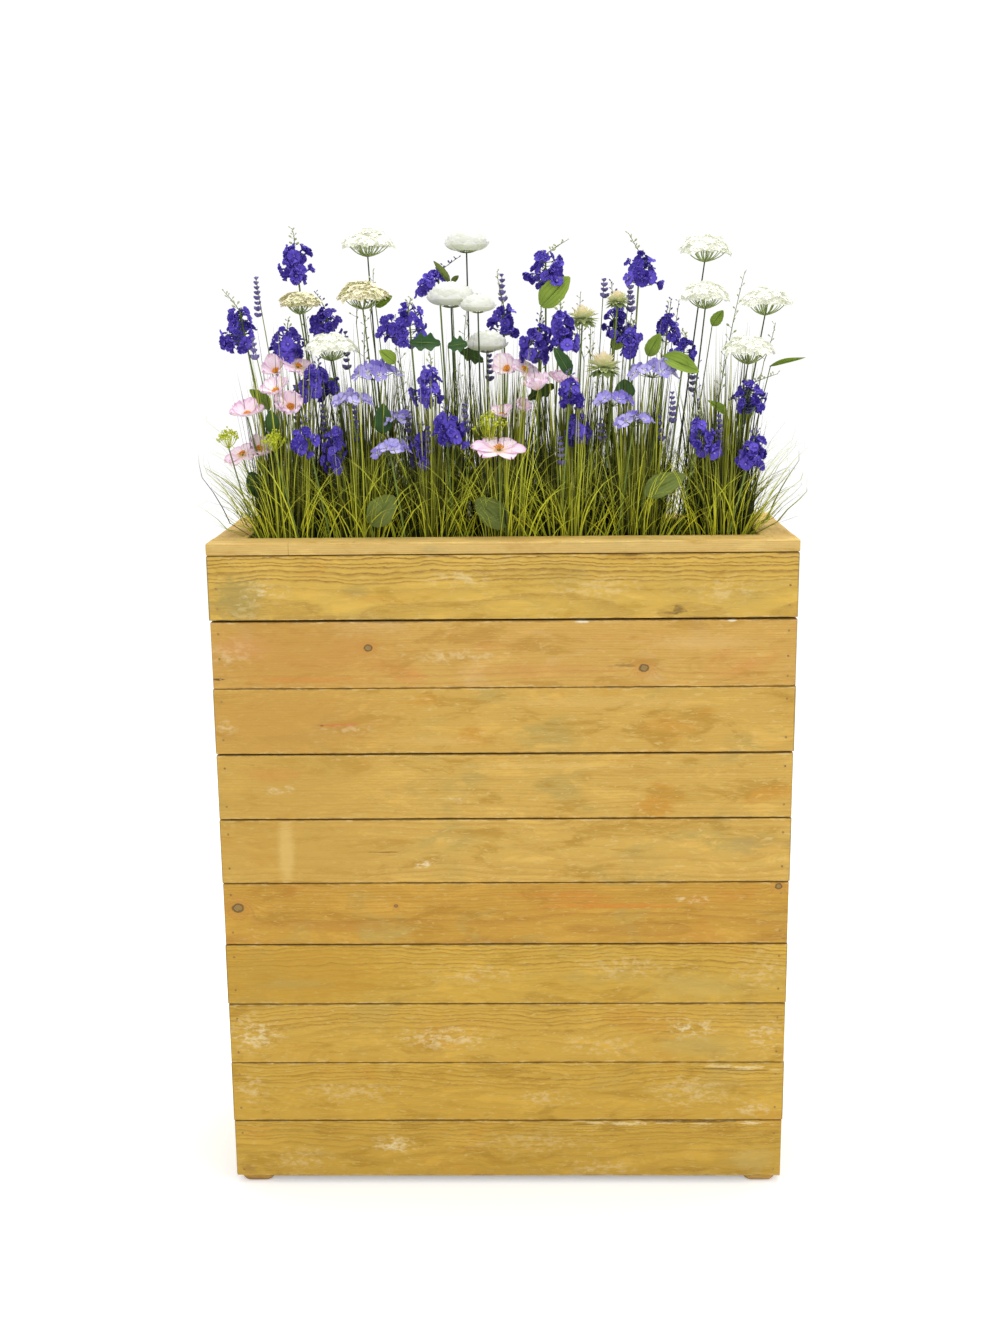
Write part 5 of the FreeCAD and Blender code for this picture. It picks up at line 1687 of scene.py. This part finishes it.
for side, count in ((-1, 50), (1, 50)):
    feet = np.stack([side * dice.uniform(0.33, 0.376, count), dice.uniform(-0.085, 0.085, count),
                     np.full(count, FOAM_TOP)], -1)
    ways = (0.0 if side > 0 else math.pi) + dice.uniform(-0.7, 0.7, count)
    looks = [dice.uniform(*span, count) for span in
             ((0.2, 0.33), (0.05, 0.2), (0.9, 1.9), (0.0028, 0.0036), (0.1, 0.8))]
    grass(feet, ways, *looks[:4], 12, 2.6, looks[4], 5.0)
blades.make("grass_in_detail", [blade_finish], "planting", ["grass_tufts"])
print("grass:", blades.count, "points")

# %% [markdown]
# Floor and light
#
# The photograph is lit softly from all sides on white. A pale floor, a white world and three large
# soft lamps do the same: one at the front left, one at the front right, and the strongest above,
# which makes the rim's top paler than the boards. The floor and the world look brighter to the
# camera than they light the box, so that the ground stays white.

# %% Floor
FLOOR_HALF, FLOOR_DEPTH = 9, -0.0005
floor_paint, shader, spot = new_finish("floor_paint")
speck = mottle(spot, 3.0, 5.0, 0.6)
wire(mix(speck, (0.93, 0.93, 0.925, 1), (0.97, 0.97, 0.965, 1)), shader.inputs["Base Color"])
wire(fade(speck, 0.2, 0.8, 0.8, 0.95), shader.inputs["Roughness"])
shader.inputs["Specular IOR Level"].default_value = 0.1
shader.inputs["Emission Color"].default_value = (1, 1, 1, 1)
straight = put(floor_paint.node_tree, "LightPath").outputs["Is Camera Ray"]
FLOOR_GLOW, WORLD_LIGHT, WORLD_GLOW = 0.34, 0.76, 0.26
wire(times(straight, FLOOR_GLOW), shader.inputs["Emission Strength"])
floor_mesh = bpy.data.meshes.new("floor")
corners = [(x * FLOOR_HALF, y * FLOOR_HALF, FLOOR_DEPTH) for x, y in ((-1, -1), (1, -1), (1, 1), (-1, 1))]
floor_mesh.from_pydata(corners, [], [(0, 1, 2, 3)])
floor_mesh.materials.append(floor_paint)
floor = new_object("floor", floor_mesh)
print("floor at", FLOOR_DEPTH, "m")

# %% World and lamps
world = bpy.data.worlds.new("studio")
world.use_nodes = True
background = world.node_tree.nodes["Background"]
background.inputs["Color"].default_value = (1, 1, 1, 1)
straight = put(world.node_tree, "LightPath").outputs["Is Camera Ray"]
wire(reckon("MULTIPLY_ADD", straight, WORLD_GLOW, WORLD_LIGHT), background.inputs["Strength"])
bpy.context.scene.world = world


def soft_lamp(name, place, size, watts):
    """A square lamp that faces the middle of the box."""
    lamp = new_object(name, bpy.data.lights.new(name, "AREA"))
    lamp.data.size, lamp.data.energy = size, watts
    lamp.location = place
    lamp.rotation_euler = (Vector((0, 0, 0.7)) - Vector(place)).to_track_quat("-Z", "Y").to_euler()


soft_lamp("lamp_front_left", (-2.6, -3.2, 3.0), 1.6, 22)
soft_lamp("lamp_front_right", (3.0, -3.0, 2.4), 2.0, 30)
soft_lamp("lamp_above", (0.2, 0.4, 3.8), 1.8, 50)
print(len(bpy.data.lights), "lamps placed")
